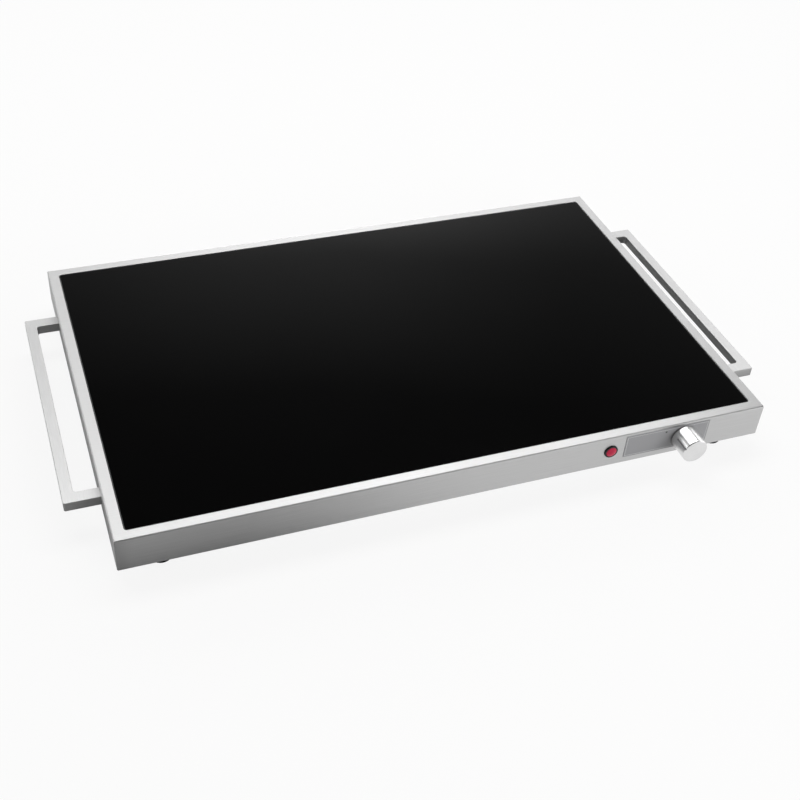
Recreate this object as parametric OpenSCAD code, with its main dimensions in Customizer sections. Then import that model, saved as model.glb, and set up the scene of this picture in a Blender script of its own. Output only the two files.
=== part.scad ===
// Electric food warmer tray: a folded steel frame with a black glass top, two bar handles, a rotary
// thermostat and a pilot light on the front, a mains inlet at the back and the heater under the glass.
// Millimetres. X runs to the right along the front, Y to the back, Z up. The origin is the centre of
// the frame's footprint, on the surface that the feet stand on.

/* [Frame] */
// Width of the frame, left to right
body_w = 600; // [560:1:700]
// Depth of the frame, front to back
body_d = 387; // [370:1:460]
// Height of the frame's walls
body_h = 34; // [33:0.5:42]
// Thickness of the frame's sheet
sheet_t = 1.2; // [0.8:0.1:1.4]
// Outside radius of the sheet's bends
bend_r = 2; // [1.6:0.1:3]
// Width of the top rim round the glass
rim_w = 10; // [8:0.5:12]
// Radius of the rim's inner corners
rim_corner_r = 3; // [2:0.5:6]
// Width of the hidden ledge that carries the glass
ledge_w = 10; // [9:0.5:13]
// Width of the flange turned in under the frame
return_w = 12; // [11:0.5:13]

/* [Glass] */
// Thickness of the glass
glass_t = 4; // [3:0.5:5]
// How far the glass lies below the rim
glass_recess = 0.6; // [0.3:0.1:1.2]
// Joint between the edge of the glass and the rim
glass_gap = 0.6; // [0.4:0.1:1.2]
// Chamfer ground on the edge of the glass
glass_chamfer = 0.5; // [0.2:0.1:0.8]
// Thickness of the silicone bed under the glass
bed_t = 0.8; // [0.5:0.1:1.2]
// Width of the silicone bed
bed_w = 8; // [5:0.5:9]

/* [Handles] */
// Length of each handle, front to back
handle_l = 259; // [180:1:300]
// How far each handle stands out from the frame
handle_reach = 31; // [28:0.5:45]
// Width of the handle's bar, seen from above
bar_w = 10; // [9:0.5:13]
// Width of the handle's two legs, seen from above
leg_w = 12; // [11:0.5:14]
// Thickness of the handle's bar, top to bottom
bar_t = 9; // [8:0.5:11]
// How far the top of the handle lies below the rim
handle_drop = 10.8; // [9.5:0.1:13]
// Radius of the handle's inner corners
handle_inner_r = 3; // [1:0.5:6]
// Radius of the handle's outer corners
handle_outer_r = 1.5; // [0.5:0.5:4]

/* [Knob] */
// Diameter of the knob
knob_d = 24.5; // [22:0.5:27]
// Length of the knob
knob_l = 21.5; // [18:0.5:28]
// Distance of the knob's axis from the right end of the frame
knob_from_end = 84; // [76:1:95]
// Depth of the knob's axis below the rim
knob_drop = 15.5; // [15.5:0.1:17.5]
// Gap between the knob and the label
knob_gap = 1.2; // [0.8:0.1:2]
// Chamfer on the knob's front edge
knob_chamfer = 1; // [0.4:0.1:2]
// Width of the pointer groove
pointer_w = 1.6; // [1:0.1:2.4]
// Depth of the pointer groove
pointer_depth = 0.8; // [0.4:0.1:1.2]
// Length of the pointer groove, from the knob's front edge
pointer_l = 15; // [8:0.5:17]
// Direction of the off mark, anticlockwise from three o'clock
off_angle = 155; // [150:1:160]
// Diameter of the thermostat's spindle
spindle_d = 6; // [5.5:0.1:6.5]
// Thickness left at the flat of the spindle
spindle_flat = 4.6; // [4.2:0.1:5]

/* [Control label and pilot light] */
// Width of the control label
label_w = 86; // [80:1:90]
// Height of the control label
label_h = 24.5; // [22:0.5:26]
// Thickness of the control label
label_t = 0.3; // [0.2:0.1:0.6]
// How far the label's middle lies to the left of the knob
label_shift = 17; // [15:1:20]
// Depth of the label's top edge below the rim
label_drop = 2.6; // [2.5:0.1:4]
// How far the pilot light lies to the left of the knob
pilot_shift = 74; // [71:1:81]
// Depth of the pilot light below the rim
pilot_drop = 16.4; // [15:0.1:19]
// Diameter of the pilot light's bezel
pilot_d = 13.2; // [12.6:0.2:16]
// Diameter of the pilot light's lens
lens_d = 10; // [9.4:0.1:10.4]
// How far the lens bulges
lens_rise = 1.2; // [0.8:0.1:2]

/* [Base and feet] */
// Thickness of the base plate
plate_t = 1; // [0.8:0.1:1.5]
// Distance of the base plate's edge from the frame's wall
plate_inset = 4; // [3:0.5:5]
// Diameter of each foot at its top
foot_d = 19; // [16:0.5:22]
// Diameter of each foot where it stands
foot_tip_d = 17; // [14:0.5:18]
// Height of each foot
foot_h = 9; // [8:0.5:15]
// Distance of the feet from the frame's sides
foot_inset_x = 38; // [30:1:60]
// Distance of the feet from the frame's front and back
foot_inset_y = 17; // [17:0.5:30]
// Number of louvres in each row of the base
louvre_count = 9; // [4:1:10]
// Length of a louvre
louvre_l = 34; // [20:1:40]
// Height of a louvre's hood
louvre_h = 4.5; // [3:0.5:5]
// Distance from one louvre to the next
louvre_pitch = 14; // [13:0.5:16]

/* [Heater] */
// Distance of the heated field from the frame's sides
heater_side = 40; // [35:1:50]
// Distance of the heated field from the frame's front and back
heater_front = 40; // [38:1:47]
// Thickness of each mica sheet
mica_t = 0.5; // [0.4:0.1:0.8]
// Width of the resistance ribbon
ribbon_w = 4; // [2:0.5:6]
// Thickness of the resistance ribbon
ribbon_t = 0.3; // [0.2:0.1:0.5]
// Pairs of runs of the ribbon across the field
ribbon_pairs = 9; // [5:1:12]
// Thickness of the insulating mat
mat_t = 8; // [7:0.5:9]
// Thickness of the heat shield's sheet
shield_t = 0.8; // [0.6:0.1:1]

/* [Mains inlet] */
// Distance of the mains inlet from the right end of the frame
inlet_from_end = 96; // [92:1:100]
// Depth of the inlet's axis below the rim
inlet_drop = 17.7; // [17.5:0.1:19]
// Width of the inlet's flange
inlet_flange_w = 50; // [48:0.5:54]
// Height of the inlet's flange
inlet_flange_h = 22.6; // [22:0.1:25]
// Thickness of the inlet's flange
inlet_flange_t = 2; // [1.6:0.1:3]
// Width of the socket in the inlet
socket_w = 24.4; // [24:0.1:25]
// Height of the socket in the inlet
socket_h = 16.2; // [16:0.1:16.6]
// Depth of the socket in the inlet
socket_depth = 17; // [16:0.5:18]

/* [Hidden] */
$fn = 64;

// Clearances
fit = 0.05;       // a shaft in its bush, or a screw in its thread
slack = 0.3;      // loose parts side by side
hole_slack = 0.2; // a screw through a plate, on the radius
over = 1;         // how far a cut runs past the face it opens
thread_end = 1;   // how far a screw stands out of its nut

// Levels above the surface that the feet stand on
frame_z = foot_h + plate_t;
top_z = frame_z + body_h;
glass_z = top_z - glass_recess - glass_t;
ledge_z = glass_z - bed_t - sheet_t;
mica_z = glass_z - mica_t;
ribbon_z = mica_z - ribbon_t;
mica_low_z = ribbon_z - mica_t;
mat_z = mica_low_z - mat_t;
shield_z = mat_z - shield_t;
handle_z = top_z - handle_drop - bar_t;
handle_mid_z = handle_z + bar_t / 2;

// Plan sizes
front_y = -body_d / 2;
wall_y = front_y + sheet_t;
back_y = body_d / 2;
open_w = body_w - 2 * rim_w;
open_d = body_d - 2 * rim_w;
glass_w = open_w - 2 * glass_gap;
glass_d = open_d - 2 * glass_gap;
ledge_open_w = open_w - 2 * ledge_w;
ledge_open_d = open_d - 2 * ledge_w;
plate_w = body_w - 2 * plate_inset;
plate_d = body_d - 2 * plate_inset;
plate_r = 4;
ledge_r = 6;
heater_w = body_w - 2 * heater_side;
heater_d = body_d - 2 * heater_front;
knob_x = body_w / 2 - knob_from_end;
label_x = knob_x - label_shift;
pilot_x = knob_x - pilot_shift;
inlet_x = body_w / 2 - inlet_from_end;

// Screws: shank and head diameter, head height, and the nut's width across flats and its height
m3 = 3;
m3_head = 5.6;
m3_head_h = 1.8;
m3_nut_af = 5.5;
m3_nut_h = 2.4;
m4 = 4;
m4_head = 7.6;
m4_head_h = 2.6;
m4_nut_af = 7;
m4_nut_h = 3.2;
m5 = 5;
m5_head = 8.5;
m5_head_h = 3.2;
head_taper = 1;
recess_d = 2.6;
recess_w = 0.8;
recess_depth = 1.2;

// Handle screws run along X through the wall into the ends of the bar
handle_screw_y = handle_l / 2 - leg_w / 2;
handle_screw_l = 14;
washer_d = 10;
washer_t = 1;
handle_bore_l = handle_screw_l - sheet_t - washer_t + thread_end;

// Base screws clamp the base plate to the frame's return flange
head_to_edge = 0.7;
head_to_foot = 2;
base_screw_corner = 82;
base_screw_in = plate_inset + m4_head / 2 + head_to_edge;
base_screw_l = 5;
base_screw_reach = body_w / 2 - foot_inset_x - foot_d / 2 - m4_head / 2 - head_to_foot;
base_screw_xs = [for (i = [-2:2]) i * base_screw_reach / 2];
base_screw_ys = [for (i = [-1:1]) i * (body_d / 2 - base_screw_corner)];
base_screw_spots = concat(
    [for (x = base_screw_xs, s = [-1, 1]) [x, s * (body_d / 2 - base_screw_in)]],
    [for (y = base_screw_ys, s = [-1, 1]) [s * (body_w / 2 - base_screw_in), y]]
);
foot_spots = [for (x = [-1, 1], y = [-1, 1])
    [x * (body_w / 2 - foot_inset_x), y * (body_d / 2 - foot_inset_y)]];
foot_bore_slack = 0.4;
foot_bore_d = m4_head + 2 * foot_bore_slack;
foot_web = 4;
foot_edge_r = 1.5;
foot_screw_l = foot_web + plate_t + m4_nut_h + thread_end;

// Louvres in two rows of three groups, with a stiffening bead at each side of a group
louvre_field_w = (louvre_count - 1) * louvre_pitch;
louvre_rows = [-62, 62];
plain_end = 62;
louvre_group_pitch = (plate_w - 2 * plain_end) / 3;
louvre_mid_x = [for (i = [-1:1]) i * louvre_group_pitch];
bead_end = 75;
bead_l = body_d - 2 * bead_end;
bead_w = 10;
bead_h = 1.5;
bead_flat = 0.1; // flat left at the top of each rounded end
bead_r = bead_w / 2 - bead_flat;
bead_xs = [for (i = [-1.5:1.5]) i * louvre_group_pitch];

// Heat shield: a tray round the mat, whose flange hangs from studs under the ledge
tray_w = heater_w + 2 * (slack + shield_t);
tray_d = heater_d + 2 * (slack + shield_t);
flange_lap = 7;
stud_in = flange_lap / 2;
stud_l = 5;
stud_end = 10;
stud_corner = 62;
stud_pitch_x = (heater_w - 2 * stud_end) / 3;
stud_reach_y = heater_d / 2 - stud_corner;
stud_spots = concat(
    [for (i = [-1.5:1.5], s = [-1, 1]) [i * stud_pitch_x, s * (ledge_open_d / 2 + stud_in)]],
    [for (i = [-1, 1], s = [-1, 1]) [s * (ledge_open_w / 2 + stud_in), i * stud_reach_y]]
);

// Ribbon: runs along X, joined by half rings at alternate ends
ribbon_runs = 2 * ribbon_pairs;
ribbon_margin = 15;
ribbon_x = heater_w / 2 - ribbon_margin;
ribbon_pitch = floor(10 * (heater_d - 2 * ribbon_margin) / (ribbon_runs - 1)) / 10;
ribbon_first_y = -ribbon_pitch * (ribbon_runs - 1) / 2;
lead_ends = [[ribbon_x, ribbon_first_y], [ribbon_x, -ribbon_first_y]];
lead_d = 2.4;
lead_hole_d = 5;

// Knob, measured forwards from the front wall
knob_z = top_z - knob_drop;
knob_back = label_t + knob_gap;
knob_front = knob_back + knob_l;
knob_wall = 2.4;
knob_hollow = 5;
knob_face_t = 3;
knob_back_chamfer = 0.3;
hub_d = 12;
hub_depth = knob_l - knob_face_t;
spindle_short = 1.5;
spindle_reach = knob_back + hub_depth - spindle_short;
bush_d = 9.5;
bush_reach = 4;
hub_gap = 1.2;
bush_nut_af = 14;
bush_nut_t = 2.4;
flat_from = bush_reach + hub_gap / 2;
label_hole_d = 18;
label_r = 0.8;

// Thermostat, behind the front wall
stat_w = 40;
stat_clear = 0.6;
stat_top_z = ledge_z - shield_t - stat_clear;
stat_bottom_z = foot_h + base_screw_l + stat_clear;
stat_h = stat_top_z - stat_bottom_z;
stat_face_t = 2;
stat_cup = 10.8;
stat_wall = 1.2;
stat_base_t = 11;
stat_back_y = wall_y + stat_face_t + stat_cup + stat_base_t;
disc_d = 2 * (stat_top_z - stat_wall - slack - knob_z);
disc_t = 4;
tab_xs = [-8, 8];
tab_w = 6.3;
tab_t = 0.8;
tab_l = 6.5;
tab_root = 5;
stat_tab_drop = 3.6;
stat_tab_z = knob_z - stat_tab_drop;

// Sensor bulb in the top of the mat, and its capillary to the thermostat
bulb_d = 6;
bulb_l = 80;
bulb_shift = 119;
bulb_from_front = 92;
bulb_clear = 0.2;
bulb_x = knob_x - bulb_shift;
bulb_y = front_y + bulb_from_front;
bulb_z = mica_low_z - bulb_d / 2 - bulb_clear;
capillary_d = 1.6;
capillary_shift = 10;
capillary_x = knob_x + capillary_shift;
capillary_bend = 8;
capillary_root = 4;
capillary_hole_d = 2.6;
groove_slack = 0.4;
groove_w = capillary_d + 2 * groove_slack;
groove_z = bulb_z - groove_w / 2;

// Pilot light
pilot_z = top_z - pilot_drop;
barrel_d = 11;
barrel_l = 18;
bezel_t = 1.4;
bezel_chamfer = 0.5;
lens_head_t = 1;
lens_shank_d = 8.8;
lens_seat = 3.5;
lamp_bore = 8;
lamp_d = 5.5;
lamp_l = 11;
pilot_nut_d = 15;
pilot_nut_t = 3;

// Mains inlet, behind and before the back wall
inlet_z = top_z - inlet_drop;
inlet_wall = 1.5;
inlet_body_w = socket_w + 2 * inlet_wall;
inlet_body_h = socket_h + 2 * inlet_wall;
inlet_end_t = 2.5;
inlet_body_l = socket_depth + inlet_end_t;
inlet_body_r = 1;
inlet_flange_r = 3;
inlet_pitch = 40;
inlet_screw_head = 6;
inlet_screw_l = inlet_flange_t + sheet_t + 4;
countersink_d = inlet_screw_head + 2 * hole_slack;
countersink_h = 1.5;
socket_cut = 4.5;
pin_t = 2;
pin_h = 4;
pin_l = 14;
pin_spots = [[-7, -1.6], [0, 2.4], [7, -1.6]];
pin_tail = 8;
inlet_back_y = back_y + inlet_flange_t - inlet_body_l;

// Wiring under the heat shield
wire_d = 2.6;
wire_bend = 3;
lamp_wire_d = 2;
lamp_wire_dx = 2.4;
low_rise = 6;
high_rise = 13;
low_z = frame_z + low_rise;
high_z = frame_z + high_rise;
tail_run = 6;
tail_y = inlet_back_y - pin_tail;
drop_y = tail_y - tail_run;
block_shift = 10;
block_from_front = 92;
block_x = pilot_x + block_shift;
block_y = front_y + block_from_front;
block_w = 22;
block_d = 18;
block_h = 14;
block_r = 1.5;
block_grip = 2; // how far past its middle each wire reaches
block_run = 30; // where a wire turns towards the block, before it and behind it
pole_dx = 5;
mouth_d = 6;
mouth_dx = 1.4;
terminal_screw_rise = 6.5;
cutout_shift = 35;
cutout_x = block_x - cutout_shift;
cutout_d = 16;
cutout_h = 5;
cutout_ear = 27;
cutout_ear_w = 7;
cutout_ear_t = 1;
cutout_ear_r = 3.4;
cutout_screw_in = 2.6;
cutout_screw_y = cutout_ear / 2 - cutout_screw_in;
cutout_screw_l = 4;
cutout_head = 4.6;
cutout_head_h = 1.6;
cutout_well_d = m3 + 2;
cutout_well_h = 3;
cutout_tab_x = 15;
cutout_tab_rise = 1;
cutout_tab_z = shield_z - cutout_h + cutout_tab_rise + tab_t / 2;
cutout_tail = 7;
earth_run = 24;
earth_y = drop_y - earth_run;
earth_wire_z = frame_z + wire_d / 2 + 0.2;
lug_t = 1;
lug_d = 9;
lug_tail_w = 4;
lug_tail_l = 12;
lug_crimp = 8;
lead_low_y = 30;
lead_high_y = 60;
lamp_run = 42.5;
lamp_stagger = 3.5;
lamp_dip = 13.5;

steel = "#d6d6d4";
dark_steel = "#8f9092";
zinc = "#b9bcbf";
brass = "#c9a65a";

// ---- Shapes used by many parts ----

// A rectangle with rounded corners, centred
module outline(w, d, r) {
    square([w - 2 * r, d], center = true);
    square([w, d - 2 * r], center = true);
    for (x = [-1, 1], y = [-1, 1])
        translate([x * (w / 2 - r), y * (d / 2 - r)])
            circle(r);
}

// A flat plate with rounded corners, its underside at z = 0
module slab(w, d, t, r) {
    linear_extrude(t)
        outline(w, d, r);
}

// A flat ring: the second outline cut out of the first
module ring_slab(w, d, r, w_in, d_in, r_in, t) {
    linear_extrude(t)
        difference() {
            outline(w, d, r);
            outline(w_in, d_in, r_in);
        }
}

// A box whose every edge is bent to the same radius
module bent_box(w, d, h, r) {
    intersection() {
        linear_extrude(h)
            outline(w, d, r);
        translate([-w / 2, 0, h / 2])
            rotate([90, 0, 90])
                linear_extrude(w)
                    outline(d, h, r);
        translate([0, d / 2, h / 2])
            rotate([90, 0, 0])
                linear_extrude(d)
                    outline(w, h, r);
    }
}

// A section with chamfered top corners, its foot at y = 0
module chamfered_section(w, h, c) {
    polygon([
        [-w / 2, 0], [w / 2, 0], [w / 2, h - c], [w / 2 - c, h], [-w / 2 + c, h], [-w / 2, h - c]
    ]);
}

// Turns a shape modelled along +Z so that it points forwards, out of the front
module forwards(x, z) {
    translate([x, front_y, z])
        rotate([90, 0, 0])
            children();
}

// Turns a shape modelled along +Z so that it points backwards, from the front wall into the frame
module inwards(x, z) {
    translate([x, wall_y, z])
        rotate([-90, 0, 0])
            children();
}

// A pan head screw, pointing up, with the underside of its head at z = 0 and a recess for the driver
module pan_screw(d, l, head, head_h) {
    difference() {
        union() {
            cylinder(d = d, h = l);
            translate([0, 0, -head_h])
                cylinder(d1 = head - head_taper, d2 = head, h = head_h);
        }
        translate([0, 0, -head_h - over])
            for (a = [0, 90])
                rotate(a)
                    translate([-recess_d / 2, -recess_w / 2, 0])
                        cube([recess_d, recess_w, recess_depth + over]);
    }
}

// A countersunk screw, pointing up, with the face of its head at z = 0
module flat_screw(d, l, head) {
    head_h = (head - d) / 2;
    difference() {
        union() {
            cylinder(d = d, h = l);
            cylinder(d1 = head, d2 = d, h = head_h);
        }
        translate([0, 0, -over])
            for (a = [0, 90])
                rotate(a)
                    translate([-recess_d / 2, -recess_w / 2, 0])
                        cube([recess_d, recess_w, head_h * 0.6 + over]);
    }
}

// A hexagon nut with its underside at z = 0
module nut(d, af, h) {
    difference() {
        cylinder(d = af / cos(30), h = h, $fn = 6);
        translate([0, 0, -over])
            cylinder(d = d + 2 * fit, h = h + 2 * over);
    }
}

// A round bar along a route of points, square to the axes, with bent corners
function unit(v) = v / norm(v);
module bar_run(from, to, d) {
    length = norm(to - from);
    z_dir = unit(to - from);
    x_dir = abs(z_dir[0]) > 0.5 ? [0, 1, 0] : [1, 0, 0];
    y_dir = cross(z_dir, x_dir);
    multmatrix([
        [x_dir[0], y_dir[0], z_dir[0], from[0]],
        [x_dir[1], y_dir[1], z_dir[1], from[1]],
        [x_dir[2], y_dir[2], z_dir[2], from[2]],
        [0, 0, 0, 1]
    ])
        cylinder(d = d, h = length, $fn = 24);
}

module bar_corner(at, before, after, d, r) {
    back = unit(before - at);
    ahead = unit(after - at);
    side = cross(back, ahead);
    centre = at + r * (back + ahead);
    multmatrix([
        [-ahead[0], -back[0], side[0], centre[0]],
        [-ahead[1], -back[1], side[1], centre[1]],
        [-ahead[2], -back[2], side[2], centre[2]],
        [0, 0, 0, 1]
    ])
        mirror([0, 0, 1])
            rotate_extrude(angle = 90, $fn = 24)
                translate([r, 0])
                    circle(d = d, $fn = 24);
}

module round_route(points, d, r) {
    last = len(points) - 1;
    for (i = [0:last - 1]) {
        way = unit(points[i + 1] - points[i]);
        start = i == 0 ? points[0] : points[i] + r * way;
        end = i == last - 1 ? points[last] : points[i + 1] - r * way;
        bar_run(start, end, d);
    }
    for (i = [1:last - 1])
        bar_corner(points[i], points[i - 1], points[i + 1], d, r);
}

// ---- Frame and glass ----

// The folded frame: walls, top rim, the lip and ledge inside the rim, and the flange turned in below
module housing() {
    color(steel)
        difference() {
            union() {
                difference() {
                    translate([0, 0, frame_z])
                        bent_box(body_w, body_d, body_h, bend_r);
                    translate([0, 0, frame_z + sheet_t])
                        bent_box(
                            body_w - 2 * sheet_t, body_d - 2 * sheet_t,
                            body_h - 2 * sheet_t, bend_r - sheet_t
                        );
                    translate([0, 0, frame_z + body_h / 2])
                        slab(open_w, open_d, body_h, rim_corner_r);
                    translate([0, 0, frame_z - over])
                        slab(body_w - 2 * return_w, body_d - 2 * return_w, body_h / 2, plate_r);
                }
                translate([0, 0, ledge_z])
                    ring_slab(
                        open_w + 2 * sheet_t, open_d + 2 * sheet_t, rim_corner_r + sheet_t,
                        open_w, open_d, rim_corner_r, top_z - ledge_z - sheet_t / 2
                    );
                translate([0, 0, ledge_z])
                    ring_slab(
                        open_w + sheet_t, open_d + sheet_t, rim_corner_r,
                        ledge_open_w, ledge_open_d, ledge_r, sheet_t
                    );
                for (p = stud_spots)
                    translate([p[0], p[1], ledge_z - stud_l])
                        cylinder(d = m3, h = stud_l + sheet_t / 2, $fn = 24);
            }
            housing_holes();
        }
}

// Holes for the knob's bush, the pilot light, the handle screws, the inlet and the base screws
module housing_holes() {
    forwards(knob_x, knob_z)
        translate([0, 0, -sheet_t - over])
            cylinder(d = bush_d + 2 * hole_slack, h = sheet_t + 2 * over);
    forwards(pilot_x, pilot_z)
        translate([0, 0, -sheet_t - over])
            cylinder(d = barrel_d + 2 * fit, h = sheet_t + 2 * over);
    for (s = [-1, 1], y = [-1, 1])
        translate([s * (body_w / 2 - sheet_t / 2), y * handle_screw_y, handle_mid_z])
            rotate([0, 90, 0])
                cylinder(d = m5 + 2 * hole_slack, h = sheet_t + 2 * over, center = true);
    translate([inlet_x, back_y - sheet_t / 2, inlet_z]) {
        cube(
            [inlet_body_w + 2 * hole_slack, sheet_t + 2 * over, inlet_body_h + 2 * hole_slack],
            center = true
        );
        for (s = [-1, 1])
            translate([s * inlet_pitch / 2, 0, 0])
                rotate([90, 0, 0])
                    cylinder(d = m3 + 2 * fit, h = sheet_t + 2 * over, center = true);
    }
    for (p = base_screw_spots)
        translate([p[0], p[1], frame_z - over])
            cylinder(d = m4 + 2 * fit, h = sheet_t + 2 * over);
}

// Toughened glass with ground edges, black all through
module glass_top() {
    color("#101012")
        translate([0, 0, glass_z])
            intersection() {
                slab(glass_w, glass_d, glass_t, rim_corner_r - glass_gap);
                translate([-glass_w / 2, 0, 0])
                    rotate([90, 0, 90])
                        linear_extrude(glass_w)
                            chamfered_section(glass_d, glass_t, glass_chamfer);
                translate([0, glass_d / 2, 0])
                    rotate([90, 0, 0])
                        linear_extrude(glass_d)
                            chamfered_section(glass_w, glass_t, glass_chamfer);
            }
}

// Silicone: a flat bed under the edge of the glass, and the joint between glass and rim
module glass_gasket() {
    color("#1c1c1e")
        translate([0, 0, glass_z - bed_t]) {
            ring_slab(
                open_w, open_d, rim_corner_r,
                open_w - 2 * bed_w, open_d - 2 * bed_w, ledge_r, bed_t
            );
            ring_slab(
                open_w, open_d, rim_corner_r,
                glass_w, glass_d, rim_corner_r - glass_gap, bed_t + glass_t - glass_chamfer
            );
        }
}

// ---- Handles ----

// One handle on the right: a square-cornered bar with two legs, drilled and tapped at the ends
module handle() {
    difference() {
        translate([body_w / 2, 0, handle_z])
            linear_extrude(bar_t)
                difference() {
                    translate([-handle_outer_r, 0])
                        outline_right(handle_reach + handle_outer_r, handle_l, handle_outer_r);
                    translate([-handle_inner_r, 0])
                        outline_right(
                            handle_reach - bar_w + handle_inner_r,
                            handle_l - 2 * leg_w, handle_inner_r
                        );
                    translate([-handle_l, -handle_l])
                        square([handle_l, 2 * handle_l]);
                }
        for (y = [-1, 1])
            translate([body_w / 2 - over, y * handle_screw_y, handle_mid_z])
                rotate([0, 90, 0])
                    cylinder(d = m5 + 2 * fit, h = handle_bore_l + over);
    }
}

// A rounded rectangle that starts at x = 0 and reaches w to the right
module outline_right(w, d, r) {
    translate([w / 2, 0])
        outline(w, d, r);
}

module handle_right() {
    color(steel)
        handle();
}

module handle_left() {
    color(steel)
        mirror([1, 0, 0])
            handle();
}

// Pan head screws from inside the frame into the handles' ends
module handle_screws() {
    color(zinc)
        for (s = [0, 1], y = [-1, 1])
            mirror([s, 0, 0])
                translate([body_w / 2 - sheet_t - washer_t, y * handle_screw_y, handle_mid_z])
                    rotate([0, 90, 0])
                        pan_screw(m5, handle_screw_l, m5_head, m5_head_h);
}

module handle_washers() {
    color(zinc)
        for (s = [0, 1], y = [-1, 1])
            mirror([s, 0, 0])
                translate([body_w / 2 - sheet_t - washer_t, y * handle_screw_y, handle_mid_z])
                    rotate([0, 90, 0])
                        difference() {
                            cylinder(d = washer_d, h = washer_t);
                            translate([0, 0, -over])
                                cylinder(d = m5 + 2 * hole_slack, h = washer_t + 2 * over);
                        }
}

// ---- Base plate and feet ----

// The base plate under the frame: stiffening beads, louvres, screw holes and the welded earth stud
module base_plate() {
    color(zinc)
        difference() {
            union() {
                translate([0, 0, foot_h])
                    slab(plate_w, plate_d, plate_t, plate_r);
                for (x = bead_xs)
                    translate([x, 0, foot_h])
                        slab(
                            bead_w + 2 * plate_t, bead_l + 2 * plate_t,
                            plate_t + bead_h, bead_r + plate_t
                        );
                for (x = louvre_mid_x, y = louvre_rows)
                    louvre_row(x, y, louvre_h, 0);
                translate([inlet_x, earth_y, foot_h])
                    cylinder(d = m4, h = plate_t + lug_t + m4_nut_h + 2 * thread_end, $fn = 24);
            }
            for (x = bead_xs)
                translate([x, 0, foot_h - over])
                    slab(bead_w, bead_l, bead_h + over, bead_r);
            for (x = louvre_mid_x, y = louvre_rows)
                louvre_row(x, y, louvre_h - plate_t, over);
            for (p = concat(base_screw_spots, foot_spots))
                translate([p[0], p[1], foot_h - over])
                    cylinder(d = m4 + 2 * hole_slack, h = plate_t + 2 * over);
            translate([block_x, block_y, foot_h - over])
                cylinder(d = m3 + 2 * fit, h = plate_t + 2 * over);
        }
}

// A row of louvres: each is a quarter-round hood that opens towards the back
module louvre_row(x, y, r, drop) {
    for (i = [0:louvre_count - 1])
        translate([x - louvre_field_w / 2 + i * louvre_pitch, y, foot_h])
            louvre(r, drop);
}

// One hood, or with a drop the space inside it and the slot below
module louvre(r, drop) {
    shrink = drop > 0 ? plate_t : 0;
    intersection() {
        translate([0, louvre_l / 2 - shrink, 0])
            rotate([90, 0, 0])
                cylinder(r = r, h = louvre_l - 2 * shrink);
        translate([-drop, -louvre_l / 2, drop > 0 ? -drop : 0])
            cube([louvre_h + 2 * drop, louvre_l, louvre_h + 2 * drop]);
    }
}

// Pan head screws up through the base plate into the return flange
module base_screws() {
    color(zinc)
        for (p = base_screw_spots)
            translate([p[0], p[1], foot_h])
                pan_screw(m4, base_screw_l, m4_head, m4_head_h);
}

// A tapered rubber foot with a rounded edge, and a bore that hides the screw's head
module feet() {
    color("#161616")
        for (p = foot_spots)
            translate([p[0], p[1], 0])
                rotate_extrude()
                    difference() {
                        polygon([
                            [m4 / 2 + fit, 0], [foot_tip_d / 2 - foot_edge_r, 0],
                            [foot_tip_d / 2, foot_edge_r], [foot_d / 2, foot_h], [m4 / 2 + fit, foot_h]
                        ]);
                        translate([0, -over])
                            square([foot_bore_d / 2, foot_h - foot_web + over]);
                    }
}

module foot_screws() {
    color(zinc)
        for (p = foot_spots)
            translate([p[0], p[1], foot_h - foot_web])
                pan_screw(m4, foot_screw_l, m4_head, m4_head_h);
}

module foot_nuts() {
    color(zinc)
        for (p = foot_spots)
            translate([p[0], p[1], foot_h + plate_t])
                nut(m4, m4_nut_af, m4_nut_h);
}

// ---- Heater ----

module mica_upper() {
    color("#c9b48a")
        translate([0, 0, mica_z])
            slab(heater_w, heater_d, mica_t, ledge_r);
}

// The resistance ribbon: straight runs joined by half rings, one unbroken band from lead to lead
module heating_ribbon() {
    color("#a7a9ac")
        translate([0, 0, ribbon_z])
            linear_extrude(ribbon_t) {
                for (i = [0:ribbon_runs - 1])
                    translate([-ribbon_x, ribbon_first_y + i * ribbon_pitch - ribbon_w / 2])
                        square([2 * ribbon_x, ribbon_w]);
                for (i = [0:ribbon_runs - 2])
                    translate([
                        i % 2 == 0 ? -ribbon_x : ribbon_x,
                        ribbon_first_y + (i + 0.5) * ribbon_pitch
                    ])
                        rotate(i % 2 == 0 ? 180 : 0)
                            ribbon_turn();
            }
}

// A half ring that opens to the left, as wide as the ribbon
module ribbon_turn() {
    reach = ribbon_pitch / 2 + ribbon_w;
    intersection() {
        difference() {
            circle(d = ribbon_pitch + ribbon_w);
            circle(d = ribbon_pitch - ribbon_w);
        }
        translate([0, -reach])
            square([reach, 2 * reach]);
    }
}

module mica_lower() {
    color("#c9b48a")
        difference() {
            translate([0, 0, mica_low_z])
                slab(heater_w, heater_d, mica_t, ledge_r);
            lead_holes(lead_d + 2 * fit);
        }
}

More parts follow.
